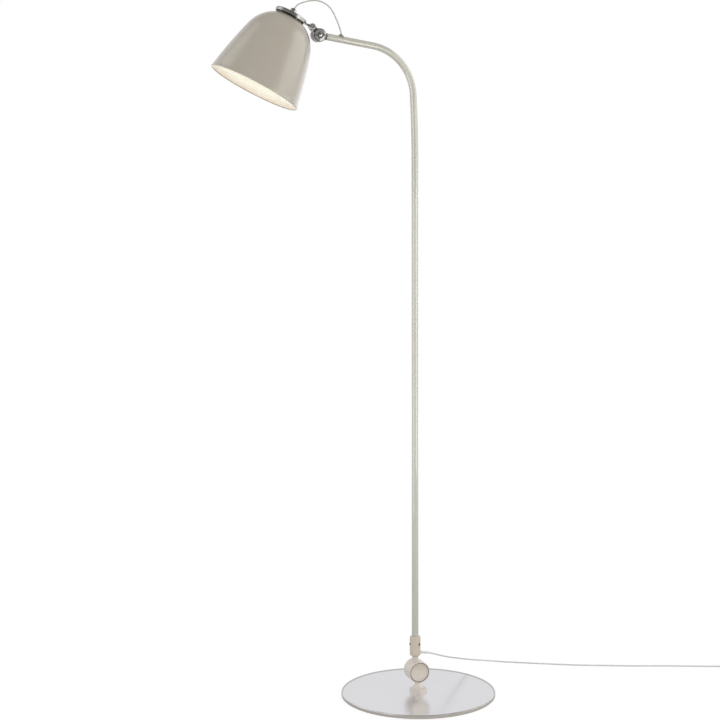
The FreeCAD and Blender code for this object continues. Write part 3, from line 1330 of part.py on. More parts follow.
faults = [item.Name for item in doc.Objects if "Invalid" in item.State or "Error" in item.State]
if faults:
    raise RuntimeError("objects that failed: %s" % ", ".join(faults))
for name, item in nodes.items():
    if item.Shape.isNull() or not item.Shape.isValid() or not item.Shape.Solids:
        raise RuntimeError("%s has no valid solid" % name)
for name, item in nodes.items():
    item.Shape.exportStep("parts/%s.step" % name)
    box = item.Shape.BoundBox
    print("%-28s %d solid(s) %9.0f mm3  x %7.1f %7.1f  y %6.1f %6.1f  z %7.1f %7.1f" % (
        name, len(item.Shape.Solids), item.Shape.Volume,
        box.XMin, box.XMax, box.YMin, box.YMax, box.ZMin, box.ZMax))
print(len(nodes), "nodes")
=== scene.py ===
"""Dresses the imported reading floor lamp: finishes, cords, ribs, shade, camera and light."""

import logging
import math
from collections.abc import Sequence
from dataclasses import dataclass, replace
from enum import Enum
from functools import cache

import bmesh
import bpy
from bpy.types import Material, Mesh, Node, NodeOutputs, NodeSocket, NodeTree, Object
from mathutils import Matrix, Vector


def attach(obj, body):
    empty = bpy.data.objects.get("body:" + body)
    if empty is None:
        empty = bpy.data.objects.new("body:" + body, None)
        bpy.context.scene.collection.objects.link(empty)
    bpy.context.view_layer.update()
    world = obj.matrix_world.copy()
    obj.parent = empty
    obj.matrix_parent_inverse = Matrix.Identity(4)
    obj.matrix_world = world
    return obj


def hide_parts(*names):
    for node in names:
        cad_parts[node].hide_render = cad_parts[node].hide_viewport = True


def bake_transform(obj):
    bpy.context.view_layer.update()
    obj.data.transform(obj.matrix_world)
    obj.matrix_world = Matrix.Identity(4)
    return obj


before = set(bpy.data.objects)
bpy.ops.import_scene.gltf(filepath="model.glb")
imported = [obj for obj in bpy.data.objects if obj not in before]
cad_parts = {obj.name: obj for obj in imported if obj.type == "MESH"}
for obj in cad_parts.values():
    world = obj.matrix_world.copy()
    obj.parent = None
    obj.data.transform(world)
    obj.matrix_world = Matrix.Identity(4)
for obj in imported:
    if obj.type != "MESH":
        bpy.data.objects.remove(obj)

log = logging.getLogger("reading_lamp")
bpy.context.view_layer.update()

Colour = tuple[float, float, float]
Point = tuple[float, float, float]
# An outline's corner: its radius and its height.
Corner = tuple[float, float]
Span = tuple[float, float]
# What a spread takes: start, end, low and high.
Ramp = tuple[float, float, float, float]

WHITE: Colour = (1.0, 1.0, 1.0)


class Part(Enum):
    """The bodies that the lamp's joints move against each other."""

    BASE = "base"
    POLE = "pole"
    HEAD = "head"


class Side(Enum):
    """The two faces of the shade's wall."""

    OUTSIDE = 0
    INSIDE = 1


def srgb(*channels: int) -> Colour:
    """Turns a colour as a screen shows it into the linear one that a shader takes.

    Args:
        channels: Red, green and blue, 0 to 255.

    Returns:
        The linear colour.
    """
    shares = [value / 255.0 for value in channels]
    return tuple(s / 12.92 if s <= 0.04045 else ((s + 0.055) / 1.055) ** 2.4 for s in shares)


def grey(level: float) -> Colour:
    """A linear grey."""
    return (level, level, level)


def turn(axis: str, degrees: float) -> Matrix:
    """A turn about an axis of the frame."""
    return Matrix.Rotation(math.radians(degrees), 4, axis)


def placed(name: str, data: bpy.types.ID) -> Object:
    """Puts new data in the scene as an object at the origin.

    Args:
        name: The object's name.
        data: Its mesh, curve, light or camera.

    Returns:
        The object.
    """
    item = bpy.data.objects.new(name, data)
    bpy.context.scene.collection.objects.link(item)
    return item


def plain_mesh(item: Object) -> Mesh:
    """The object's mesh with all that modifiers and bevels make of it."""
    graph = bpy.context.evaluated_depsgraph_get()
    return bpy.data.meshes.new_from_object(item.evaluated_get(graph))


class Tree:
    """A node tree, with short ways to add to it.

    An input takes a value, a socket, or a node, which stands for its first output in use.
    """

    def __init__(self, tree: NodeTree) -> None:
        """Takes a tree over and empties it."""
        self.tree = tree
        self.tree.nodes.clear()

    def add(self, kind: str, *inputs: object, **named: object) -> Node:
        """Adds a node of a kind and fills it."""
        return self.fill(self.tree.nodes.new(kind), *inputs, **named)

    def fill(self, node: Node, *inputs: object, **named: object) -> Node:
        """Sets a node's properties and inputs.

        Args:
            node: The node.
            inputs: What its first inputs take, in their order.
            named: A property, or an input by its name with underscores for spaces.

        Returns:
            The node.
        """
        for key, value in named.items():
            if hasattr(node, key):
                setattr(node, key, value)
            else:
                self.feed(node.inputs[key.replace("_", " ")], value)
        for socket, value in zip(node.inputs, inputs):
            self.feed(socket, value)
        return node

    def feed(self, socket: NodeSocket, value: object) -> None:
        """Links or sets one input.

        Args:
            socket: The input.
            value: A value, a socket or a node.
        """
        if isinstance(value, Node):
            value = next(output for output in value.outputs if output.enabled)
        if isinstance(value, NodeSocket):
            self.tree.links.new(value, socket)
        else:
            socket.default_value = (*value, 1.0) if socket.type == "RGBA" else value

    def number(self, operation: str, *inputs: object) -> Node:
        """Works out a number."""
        return self.add("ShaderNodeMath", *inputs, operation=operation)

    def vector(self, operation: str, *inputs: object, **named: object) -> Node:
        """Works with vectors."""
        return self.add("ShaderNodeVectorMath", *inputs, operation=operation, **named)

    def split(self, vector: object) -> NodeOutputs:
        """A vector's X, Y and Z."""
        return self.add("ShaderNodeSeparateXYZ", vector).outputs

    def spread(
        self, factor: object, start: float, end: float, low: float = 0.0, high: float = 1.0
    ) -> Node:
        """Spreads the range from start to end over low to high, and holds it there beyond."""
        return self.add("ShaderNodeMapRange", factor, start, end, low, high, clamp=True)


class Graph(Tree):
    """A material's node tree."""

    NOISE_MIDDLE: Span = (0.3, 0.7)

    def __init__(self, name: str) -> None:
        """Starts an empty material.

        Args:
            name: Its name.
        """
        self.material = bpy.data.materials.new(name)
        self.material.use_nodes = True
        super().__init__(self.material.node_tree)

    def place(self) -> NodeSocket:
        """The piece's own coordinates, in metres."""
        return self.add("ShaderNodeTexCoord").outputs["Object"]

    def noise(self, scale: float, detail: float = 2.0, place: object = None) -> Node:
        """Noise over the piece's own coordinates or others, in cells per metre."""
        return self.add("ShaderNodeTexNoise", place or self.place(), Scale=scale, Detail=detail)

    def between(self, noise: Node, low: float = 0.0, high: float = 1.0) -> Node:
        """Spreads a noise's middle range over low to high."""
        return self.spread(noise, *self.NOISE_MIDDLE, low, high)

    def tinted(self, factor: object, first: object, second: object) -> Node:
        """Mixes two colours by a factor."""
        return self.add("ShaderNodeMix", data_type="RGBA", Factor=factor, A=first, B=second)

    def bumped(self, height: Node, depth: float) -> Node:
        """Turns a height into a normal; depth is in metres."""
        return self.add("ShaderNodeBump", Strength=1.0, Distance=depth, Height=height)


@dataclass(frozen=True)
class HeadPlace:
    """Where the shade stands: its own axis is Z and the crown cap's middle is the origin."""

    origin: Point = (-0.24283, 0.0163, 1.30704)
    tilt: float = 29.0

    def matrix(self, height: float = 0.0) -> Matrix:
        """The head's own frame, moved up along its axis."""
        lift = Matrix.Translation((0.0, 0.0, height))
        return Matrix.Translation(self.origin) @ turn("Y", self.tilt) @ lift


HEAD = HeadPlace()
SHADE_MOUTH = -0.1481
SHADE_CROWN = -0.0061
GRIP_CENTRE: Point = (-0.1902325, 0.0219, 1.2713616)
ALONG_Y = turn("X", 90.0)


@dataclass(frozen=True)
class Finish:
    """A finish whose colour and gloss vary a little, with a fine surface.

    Attributes:
        colour: The colour of most patches.
        shade_of_it: The colour of the other patches.
        rough: The least and the greatest roughness.
        grain: Cells of the fine surface per metre.
        grain_depth: Its depth in metres.
        patches: Patches of colour per metre.
    """

    name: str
    colour: Colour
    shade_of_it: Colour
    rough: Span
    grain: float
    grain_depth: float
    patches: float
    metallic: float = 0.0
    coat: float = 0.0
    coat_rough: float = 0.05
    coat_ior: float = 1.5
    ior: float = 1.5
    sheen: float = 0.0
    glow: float = 0.0
    glow_colour: Colour = WHITE

    @cache
    def material(self) -> Material:
        """Builds the material at first use, and hands out the same one afterwards.

        Returns:
            The material.
        """
        graph = Graph(self.name)
        patches = graph.between(graph.noise(self.patches))
        fine = graph.noise(self.grain, detail=3.0)
        shader = graph.add(
            "ShaderNodeBsdfPrincipled",
            Base_Color=graph.tinted(patches, self.colour, self.shade_of_it),
            Metallic=self.metallic,
            Roughness=graph.between(fine, *self.rough),
            IOR=self.ior,
            Normal=graph.bumped(fine, self.grain_depth),
            Coat_Weight=self.coat,
            Coat_Roughness=self.coat_rough,
            Coat_IOR=self.coat_ior,
            Sheen_Weight=self.sheen,
            Emission_Color=self.glow_colour,
            Emission_Strength=self.glow,
        )
        self.extend(graph, shader)
        graph.add("ShaderNodeOutputMaterial", shader)
        return graph.material

    def extend(self, graph: Graph, shader: Node) -> None:
        """Adds what one kind of finish has beyond the others."""


@dataclass(frozen=True)
class Metal(Finish):
    """Plain metal."""

    metallic: float = 1.0


@dataclass(frozen=True)
class Lacquer(Finish):
    """Sprayed and baked lacquer with the faint waviness of its gloss coat."""

    coat: float = 1.0
    coat_rough: float = 0.06
    ior: float = 1.45
    wave: float = 140.0
    wave_depth: float = 4e-6

    def extend(self, graph: Graph, shader: Node) -> None:
        """Gives the gloss coat its own long waves."""
        waves = graph.bumped(graph.noise(self.wave, detail=1.0), self.wave_depth)
        graph.fill(shader, Coat_Normal=waves)


@dataclass(frozen=True)
class Brushed(Metal):
    """Turned or drawn metal, with fine lines round the piece's height."""

    lines: float = 1800.0
    stretch: Point = (0.02, 0.02, 1.0)

    def extend(self, graph: Graph, shader: Node) -> None:
        """Replaces the grain with fine lines.

        Args:
            graph: The material's tree.
            shader: Its shader.
        """
        drawn = graph.add("ShaderNodeMapping", graph.place(), Scale=self.stretch)
        lines = graph.noise(self.lines, place=drawn)
        graph.fill(shader, Normal=graph.bumped(lines, self.grain_depth))


@dataclass(frozen=True)
class Opal(Finish):
    """Frosted glass that glows softly."""

    glow: float = 2.0
    glow_colour: Colour = (1.0, 0.89, 0.73)
    soft: float = 0.3
    soft_radius: Point = (0.01, 0.008, 0.006)

    def extend(self, graph: Graph, shader: Node) -> None:
        """Lets light in under the surface."""
        graph.fill(shader, Subsurface_Weight=self.soft, Subsurface_Radius=self.soft_radius)


@dataclass(frozen=True)
class Enamel(Finish):
    """The cream inside of the shade, with a faint painted glow of light, and painted darker peach
    shading at its mouth.
    """

    # Painted light: the cream glows a little, standing in for the bulb's light falling on it.
    glow: float = 0.185
    glow_colour: Colour = (1.0, 0.985, 0.93)
    # Painted shade: a darker peach colour at the mouth, for shade and reflection there.
    painted_mouth_shade: Colour = srgb(210, 194, 178)
    painted_mouth_depth: float = 0.085

    def extend(self, graph: Graph, shader: Node) -> None:
        """Fades the painted peach shading out from the mouth upwards.

        Args:
            graph: The material's tree.
            shader: Its shader.
        """
        mouth = HEAD.matrix(SHADE_MOUTH).translation
        way = HEAD.matrix(SHADE_CROWN).translation - mouth
        offset = graph.vector("SUBTRACT", graph.place(), mouth)
        along = graph.vector("DOT_PRODUCT", offset, way / way.length_squared)
        # Painted shade, strongest at the mouth and gone further up.
        depth = graph.spread(along, 0.0, self.painted_mouth_depth, 1.0, 0.0)
        own = shader.inputs["Base Color"].links[0].from_socket
        graph.fill(shader, Base_Color=graph.tinted(depth, own, self.painted_mouth_shade))


@dataclass(frozen=True)
class PlatedTop(Finish):
    """Lacquer on the plate's side, and a polished pale face on top of it with painted shade on its
    outer ring at the far side.

    Attributes:
        level: The height above which the face is polished, with the seam under it.
        edge: The radii between which painted shade darkens the face to its outermost ring.
        edge_growth: How much wider that ring gets towards the far side.
        far_side: The way to the far side; its length spreads the change over the plate.
        fade: Where on that way the painted dark ring sets in.
    """

    level: float = 0.00700
    seam: float = 5e-5
    polished: Colour = (0.91, 0.90, 0.93)
    polished_rough: float = 0.22
    metal: float = 0.9
    wave: float = 26.0
    wave_depth: float = 2e-5
    # Painted shade: the colour that the top's outermost ring darkens to on the far side.
    painted_edge_shade: Colour = (0.54, 0.535, 0.53)
    edge: Span = (0.1450, 0.1480)
    edge_growth: float = 0.0085
    far_side: Point = (2.47, 6.2, 0.0)
    fade: Span = (-0.25, 0.05)

    def extend(self, graph: Graph, shader: Node) -> None:
        """Tells the top from the side by its height, and paints shade on the top's outermost ring
        towards the far side.

        Args:
            graph: The material's tree.
            shader: Its shader.
        """
        split = graph.split(graph.place())
        on_top = graph.spread(split["Z"], self.level - self.seam, self.level)
        flat = graph.add("ShaderNodeCombineXYZ", split["X"], split["Y"])
        along = graph.vector("DOT_PRODUCT", flat, self.far_side)
        wider = graph.spread(along, 0.0, 1.0, 0.0, self.edge_growth)
        ring = graph.spread(graph.number("ADD", graph.vector("LENGTH", flat), wider), *self.edge)
        # Painted shade: the dark ring, only towards the far side.
        dark = graph.number("MULTIPLY", ring, graph.spread(along, *self.fade))
        face = graph.tinted(dark, self.polished, self.painted_edge_shade)
        graph.fill(
            shader,
            Base_Color=graph.tinted(on_top, self.colour, face),
            Metallic=graph.spread(on_top, 0.0, 1.0, 0.0, self.metal),
            Roughness=graph.spread(on_top, 0.0, 1.0, self.rough[0], self.polished_rough),
            Normal=graph.bumped(graph.noise(self.wave, detail=1.0), self.wave_depth),
        )


@dataclass(frozen=True)
class PaintedRingChrome(Metal):
    """Chrome with painted dark rings round the head hinge's axis that stand in for reflections, and
    painted light that rises from bottom to top.

    Attributes:
        reach: The radius of the turned face.
        dark: The colour of its painted dark reflection rings.
        tone_reach: How far above and below the axis the painted light still changes.
        tone: The factors of painted light on the colour at the bottom and at the top.
        stops: Shares of the radius, each with whether the face is painted dark there.
    """

    reach: float = 0.0125
    dark: Colour = grey(0.15)
    tone_reach: float = 0.004
    tone: Span = (0.5, 2.0)
    stops: tuple[tuple[float, bool], ...] = (
        (0.28, False), (0.34, True), (0.44, True), (0.52, False), (0.84, False), (0.91, True),
    )

    def extend(self, graph: Graph, shader: Node) -> None:
        """Paints dark reflection rings by the distance from the axis, and painted light by the
        height.

        Args:
            graph: The material's tree.
            shader: Its shader.
        """
        offset = graph.vector("SUBTRACT", graph.place(), GRIP_CENTRE)
        flat = graph.vector("MULTIPLY", offset, (1.0, 0.0, 1.0))
        # Painted reflection: dark and bright rings by the distance from the axis.
        ramp = graph.add(
            "ShaderNodeValToRGB", graph.spread(graph.vector("LENGTH", flat), 0.0, self.reach)
        )
        points = ramp.color_ramp.elements
        while len(points) < len(self.stops):
            points.new(1.0)
        for point, (position, is_dark) in zip(points, self.stops):
            point.position = position
            point.color = (*(self.dark if is_dark else self.colour), 1.0)
        # Painted light: lighter towards the top and darker towards the bottom.
        height = graph.split(offset)["Z"]
        tone = graph.spread(height, -self.tone_reach, self.tone_reach, *self.tone)
        graph.fill(shader, Base_Color=graph.vector("SCALE", ramp, Scale=tone))


LACQUER = Lacquer(
    "lamp_lacquer", srgb(190, 188, 174), srgb(187, 184, 170), (0.30, 0.36), 900, 1e-6, 5,
    coat_ior=1.9, wave=40, wave_depth=1e-6,
)
PLATE_LACQUER = PlatedTop(
    "plate_lacquer", srgb(172, 166, 157), srgb(168, 162, 153), (0.22, 0.28), 700, 2e-6, 6, ior=1.8
)
# Painted light and shade: the knuckle, its lids and the sleeve wear one lacquer, each copy made
# lighter or darker as light falls on that part.
LIT_KNUCKLE_LACQUER = Lacquer(
    "knuckle_lacquer", srgb(220, 211, 200), srgb(216, 207, 196), (0.26, 0.34), 900, 2e-6, 30
)
LID_LACQUER = replace(
    LIT_KNUCKLE_LACQUER, name="lid_lacquer", colour=srgb(208, 197, 183), shade_of_it=srgb(204, 193, 179)
)
SLEEVE_LACQUER = replace(
    LID_LACQUER, name="sleeve_lacquer", colour=srgb(206, 196, 178), shade_of_it=srgb(202, 192, 174)
)
SHADE_LACQUER = Lacquer(
    "shade_lacquer", srgb(174, 166, 153), srgb(171, 163, 150), (0.34, 0.42), 800, 2e-6, 8,
    coat_rough=0.17, wave_depth=6e-6,
)
SHADE_INSIDE = Enamel(
    "shade_cream", srgb(244, 244, 233), srgb(240, 239, 226), (0.40, 0.50), 900, 6e-6, 12
)
CHROME = Metal("chrome", (0.64, 0.63, 0.61), (0.60, 0.59, 0.57), (0.05, 0.10), 1200, 2e-6, 40)
HINGE_CHROME = PaintedRingChrome(
    "hinge_chrome", (0.40, 0.39, 0.38), (0.36, 0.35, 0.34), (0.08, 0.14), 1200, 2e-6, 40
)
SATIN_CHROME = Metal(
    "satin_chrome", (0.42, 0.41, 0.39), (0.38, 0.37, 0.35), (0.20, 0.28), 1200, 2e-6, 40
)
SMOKED_CHROME = Metal(
    "smoked_chrome", (0.08, 0.075, 0.065), (0.06, 0.055, 0.05), (0.10, 0.18), 1200, 3e-6, 60
)
GRIP_METAL = Metal(
    "grip_metal", (0.05, 0.048, 0.045), (0.03, 0.029, 0.027), (0.22, 0.34), 1400, 4e-6, 90
)
BUSHING_METAL = Metal(
    "bushing_metal", (0.50, 0.48, 0.44), (0.44, 0.42, 0.39), (0.16, 0.24), 1200, 4e-6, 80
)
ZINC = Brushed("zinc_steel", (0.50, 0.50, 0.48), (0.42, 0.42, 0.40), (0.32, 0.45), 900, 1e-5, 60)
DARK_STEEL = Brushed(
    "black_steel", (0.035, 0.034, 0.032), (0.05, 0.048, 0.045), (0.35, 0.5), 900, 1e-5, 80,
    metallic=0.7,
)
FELT = Finish(
    "felt", (0.022, 0.020, 0.018), (0.045, 0.042, 0.038), (0.85, 0.98), 2600, 3e-4, 120, sheen=0.4
)
RUBBER = Finish(
    "grey_rubber", srgb(142, 136, 126), srgb(134, 128, 118), (0.55, 0.7), 1500, 3e-5, 60
)
BLACK = Finish("black_plastic", grey(0.012), (0.022, 0.021, 0.020), (0.32, 0.45), 1400, 2e-5, 50)
BAKELITE = Finish(
    "lampholder_black", (0.015, 0.014, 0.013), (0.028, 0.025, 0.023), (0.25, 0.38), 700, 2e-5, 30
)
CERAMIC = Finish(
    "contact_block", srgb(226, 220, 206), srgb(214, 207, 192), (0.35, 0.5), 800, 2e-5, 40
)
SHEATH = Finish(
    "cord_sheath", srgb(214, 214, 216), srgb(206, 206, 208), (0.32, 0.42), 1600, 1e-5, 25
)
# Painted shade: the mains cord's sheath, made darker for the loop over the head.
SHADED_LOOP_SHEATH = replace(
    SHEATH, name="loop_sheath", colour=srgb(188, 188, 184), shade_of_it=srgb(180, 180, 176)
)
PLUG_PLASTIC = Finish(
    "plug_plastic", srgb(224, 224, 225), srgb(216, 216, 217), (0.35, 0.5), 1300, 3e-5, 40
)
NICKEL = Brushed("nickel", (0.60, 0.56, 0.50), (0.52, 0.48, 0.42), (0.18, 0.28), 900, 4e-6, 90)
BULB_METAL = Brushed("bulb_metal", grey(0.60), grey(0.50), (0.25, 0.35), 900, 1e-5, 90)
OPAL_GLASS = Opal(
    "opal_glass", (0.90, 0.87, 0.80), (0.86, 0.83, 0.76), (0.25, 0.35), 900, 5e-6, 20
)

NODE_FINISHES: dict[str, Finish] = {
    name: finish
    for finish, names in (
        (PLATE_LACQUER, "base_plate"),
        (LIT_KNUCKLE_LACQUER, "tilt_hinge_lower_half tilt_hinge_upper_half"),
        (LID_LACQUER, "tilt_hinge_front_cap tilt_hinge_rear_cap"),
        (SLEEVE_LACQUER, "pole_sleeve"),
        (LACQUER, "lower_pole_tube upper_pole_tube"),
        (SHADE_LACQUER, "shade"),
        (HINGE_CHROME, "head_joint_arm_half"),
        (SATIN_CHROME, "head_joint_shade_half shade_bracket bracket_screw crown_cap"),
        (CHROME, "head_joint_screw head_joint_nut bracket_screw_nut"),
        (ZINC, "base_bolt base_bolt_washer tilt_hinge_bolt tilt_hinge_spring_washer"),
        (ZINC, "tilt_hinge_nut pole_joiner crown_nipple crown_nut"),
        (DARK_STEEL, "sleeve_set_screws"),
        (FELT, "base_felt"),
        (RUBBER, "arm_cord_grommet"),
        (SMOKED_CHROME, "crown_gasket"),
        (BLACK, "tilt_hinge_friction_disc head_joint_washer coil_tie"),
        (BUSHING_METAL, "cord_bushing"),
        (BAKELITE, "lampholder"),
        (CERAMIC, "lampholder_contact"),
        (SHEATH, "inner_flex holder_lead mains_cord mains_coil plug_tail"),
        (SHADED_LOOP_SHEATH, "head_cord"),
        (PLUG_PLASTIC, "sleeve_strain_relief plug_body plug_strain_relief"),
        (NICKEL, "plug_pins"),
        (BULB_METAL, "bulb_cap"),
        (OPAL_GLASS, "bulb_glass"),
    )
    for name in names.split()
}


def smooth(mesh: Mesh, degrees: float = 32.0) -> Mesh:
    """Shades a mesh smooth.

    Args:
        mesh: The mesh.
        degrees: The angle above which an edge stays sharp.

    Returns:
        The same mesh.
    """
    mesh.polygons.foreach_set("use_smooth", [True] * len(mesh.polygons))
    mesh.set_sharp_from_angle(angle=math.radians(degrees))
    return mesh


def lathe(profile: Sequence[Corner], sides: Sequence[Side], segments: int, place: Matrix) -> Mesh:
    """Turns a closed outline about its own Z axis.

    Args:
        profile: Its corners, in metres.
        sides: The side of the wall that the stretch after each corner belongs to.
        segments: Faces round the axis.
        place: Where the piece's own frame stands.

    Returns:
        The mesh, in the lamp's frame.
    """
    form = bmesh.new()
    rings = []
    for step in range(segments):
        angle = 2 * math.pi * step / segments
        way = (math.cos(angle), math.sin(angle))
        rings.append([form.verts.new((r * way[0], r * way[1], z)) for r, z in profile])
    for step, ring in enumerate(rings):
        after = rings[(step + 1) % segments]
        for index, side in enumerate(sides):
            nxt = (index + 1) % len(profile)
            face = form.faces.new((ring[index], after[index], after[nxt], ring[nxt]))
            face.material_index = side.value
    bmesh.ops.recalc_face_normals(form, faces=form.faces)
    form.transform(place)
    mesh = bpy.data.meshes.new("lathed")
    form.to_mesh(mesh)
    form.free()
    return smooth(mesh)


def arc(start: Corner, end: Corner, radius: float, steps: int) -> list[Corner]:
    """Points along an arc that bulges right of its travel, without its end.

    Args:
        start: Where it starts.
        end: Where it ends.
        radius: Its radius, over half the chord.
        steps: How many parts it has.

    Returns:
        The points.
    """
    chord = (end[0] - start[0], end[1] - start[1])
    length = math.hypot(*chord)
    rise = math.sqrt(radius * radius - length * length / 4)
    centre = (
        (start[0] + end[0]) / 2 - chord[1] / length * rise,
        (start[1] + end[1]) / 2 + chord[0] / length * rise,
    )
    first = math.atan2(start[1] - centre[1], start[0] - centre[0])
    last = math.atan2(end[1] - centre[1], end[0] - centre[0])
    angles = [first + (last - first) * step / steps for step in range(steps)]
    return [(centre[0] + radius * math.cos(a), centre[1] + radius * math.sin(a)) for a in angles]


class RingStack(Tree):
    """A geometry tree that sets rings one behind another, each a little wider or narrower."""

    SIZES: tuple[str, ...] = ("Count", "Pitch", "Radius", "Bead", "Taper")
    RING_STEPS = 64
    BEAD_STEPS = 12

    def __init__(self, name: str, finish: Finish) -> None:
        """Builds the tree.

        Args:
            name: Its name.
            finish: The finish that it gives its piece.
        """
        super().__init__(bpy.data.node_groups.new(name, "GeometryNodeTree"))
        face = self.tree.interface
        self.sockets: dict[str, str] = {}
        for label in self.SIZES:
            kind = "NodeSocketInt" if label == "Count" else "NodeSocketFloat"
            socket = face.new_socket(label, in_out="INPUT", socket_type=kind)
            self.sockets[label] = socket.identifier
        face.new_socket("Geometry", in_out="OUTPUT", socket_type="NodeSocketGeometry")
        copies = self.copies(self.add("NodeGroupInput").outputs)
        real = self.add("GeometryNodeRealizeInstances", copies)
        soft = self.add("GeometryNodeSetShadeSmooth", real)
        paint = self.add("GeometryNodeSetMaterial", soft, Material=finish.material())
        self.add("NodeGroupOutput", paint)

    def copies(self, size: NodeOutputs) -> Node:
        """Sets the rings on a line of points.

        Args:
            size: The tree's sizes.

        Returns:
            The node that holds the copies.
        """
        step = self.add("ShaderNodeCombineXYZ", Z=size["Pitch"])
        line = self.add("GeometryNodeMeshLine", Count=size["Count"], Offset=step)
        circle = "GeometryNodeCurvePrimitiveCircle"
        ring = self.add(circle, Resolution=self.RING_STEPS, Radius=size["Radius"])
        bead = self.add(circle, Resolution=self.BEAD_STEPS, Radius=size["Bead"])
        tube = self.add("GeometryNodeCurveToMesh", Curve=ring, Profile_Curve=bead)
        index = self.add("GeometryNodeInputIndex")
        growth = self.number("MULTIPLY_ADD", index, size["Taper"], 1.0)
        scale = self.add("ShaderNodeCombineXYZ", growth, growth, 1.0)
        return self.add("GeometryNodeInstanceOnPoints", Points=line, Instance=tube, Scale=scale)

    def grow(self, values: dict[str, float], place: Matrix) -> Mesh:
        """Runs the tree once and returns its plain mesh.

        Args:
            values: The named inputs' values.
            place: Where the piece's own frame stands.

        Returns:
            The mesh, in the lamp's frame.
        """
        seed = placed("seed", bpy.data.meshes.new("seed"))
        modifier = seed.modifiers.new("grow", "NODES")
        modifier.node_group = self.tree
        for label, value in values.items():
            modifier[self.sockets[label]] = value
        mesh = plain_mesh(seed)
        seed.modifiers.remove(modifier)
        bpy.data.objects.remove(seed)
        mesh.transform(place)
        return mesh


class RibRing(RingStack):
    """A geometry tree that stands upright ribs round a barrel."""

    SIZES = ("Count", "Radius", "Rib", "Length")
    RIB_SIDES = 10

    def copies(self, size: NodeOutputs) -> Node:
        """Sets the ribs on a circle of points.

        Args:
            size: The tree's sizes.

        Returns:
            The node that holds the copies.
        """
        circle = self.add("GeometryNodeMeshCircle", Vertices=size["Count"], Radius=size["Radius"])
        cylinder = "GeometryNodeMeshCylinder"
        rib = self.add(cylinder, Vertices=self.RIB_SIDES, Radius=size["Rib"], Depth=size["Length"])
        return self.add("GeometryNodeInstanceOnPoints", Points=circle, Instance=rib)

    def grow(self, values: dict[str, float], place: Matrix) -> Mesh:
        """Runs the tree once and keeps the edges of the ribs' ends sharp."""
        return smooth(super().grow(values, place))


def piece(name: str, mesh: Mesh, *finishes: Finish) -> Object:
    """Puts a mesh in the scene at the origin.

    Args:
        name: The piece's name.
        mesh: Its mesh, already in place in the lamp's frame.
        finishes: Its finishes in the order of the mesh's material numbers; none keeps the
            mesh's own.

    Returns:
        The new object.
    """
    mesh.name = name
    for finish in finishes:
        mesh.materials.append(finish.material())
    return placed(name, mesh)


def ride(item: Object, part: Part, slot: str, *nodes: str) -> Object:
    """Lets a piece ride on a body and stand for nodes.

    Args:
        item: The piece.
        part: The body that carries it.
        slot: The record's material slot that it belongs to; not used.
        nodes: The nodes that it replaces.

    Returns:
        The piece.
    """
    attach(item, part.value)
    if nodes:
        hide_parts(*nodes)
    log.info("%s rides on %s, %d faces", item.name, part.value, len(item.data.polygons))
    return item


def grown(
    name: str, tree: RingStack, place: Matrix, part: Part, slot: str, **values: float
) -> Object:
    """Grows a piece from a geometry tree and lets it ride on a body.

    Args:
        name: The piece's name.
        tree: The tree.
        place: Where the piece's own frame stands.
        part: The body that carries it.
        slot: The record's material slot that it belongs to.
        values: The tree's inputs.

    Returns:
        The piece.
    """
    return ride(piece(name, tree.grow(values, place)), part, slot)


def dress_nodes() -> None:
    """Gives every carried-over node its finish."""
    for name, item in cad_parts.items():
        material = NODE_FINISHES[name].material()
        for slot in item.material_slots:
            slot.material = material
        log.info("node %s wears %s", name, material.name)


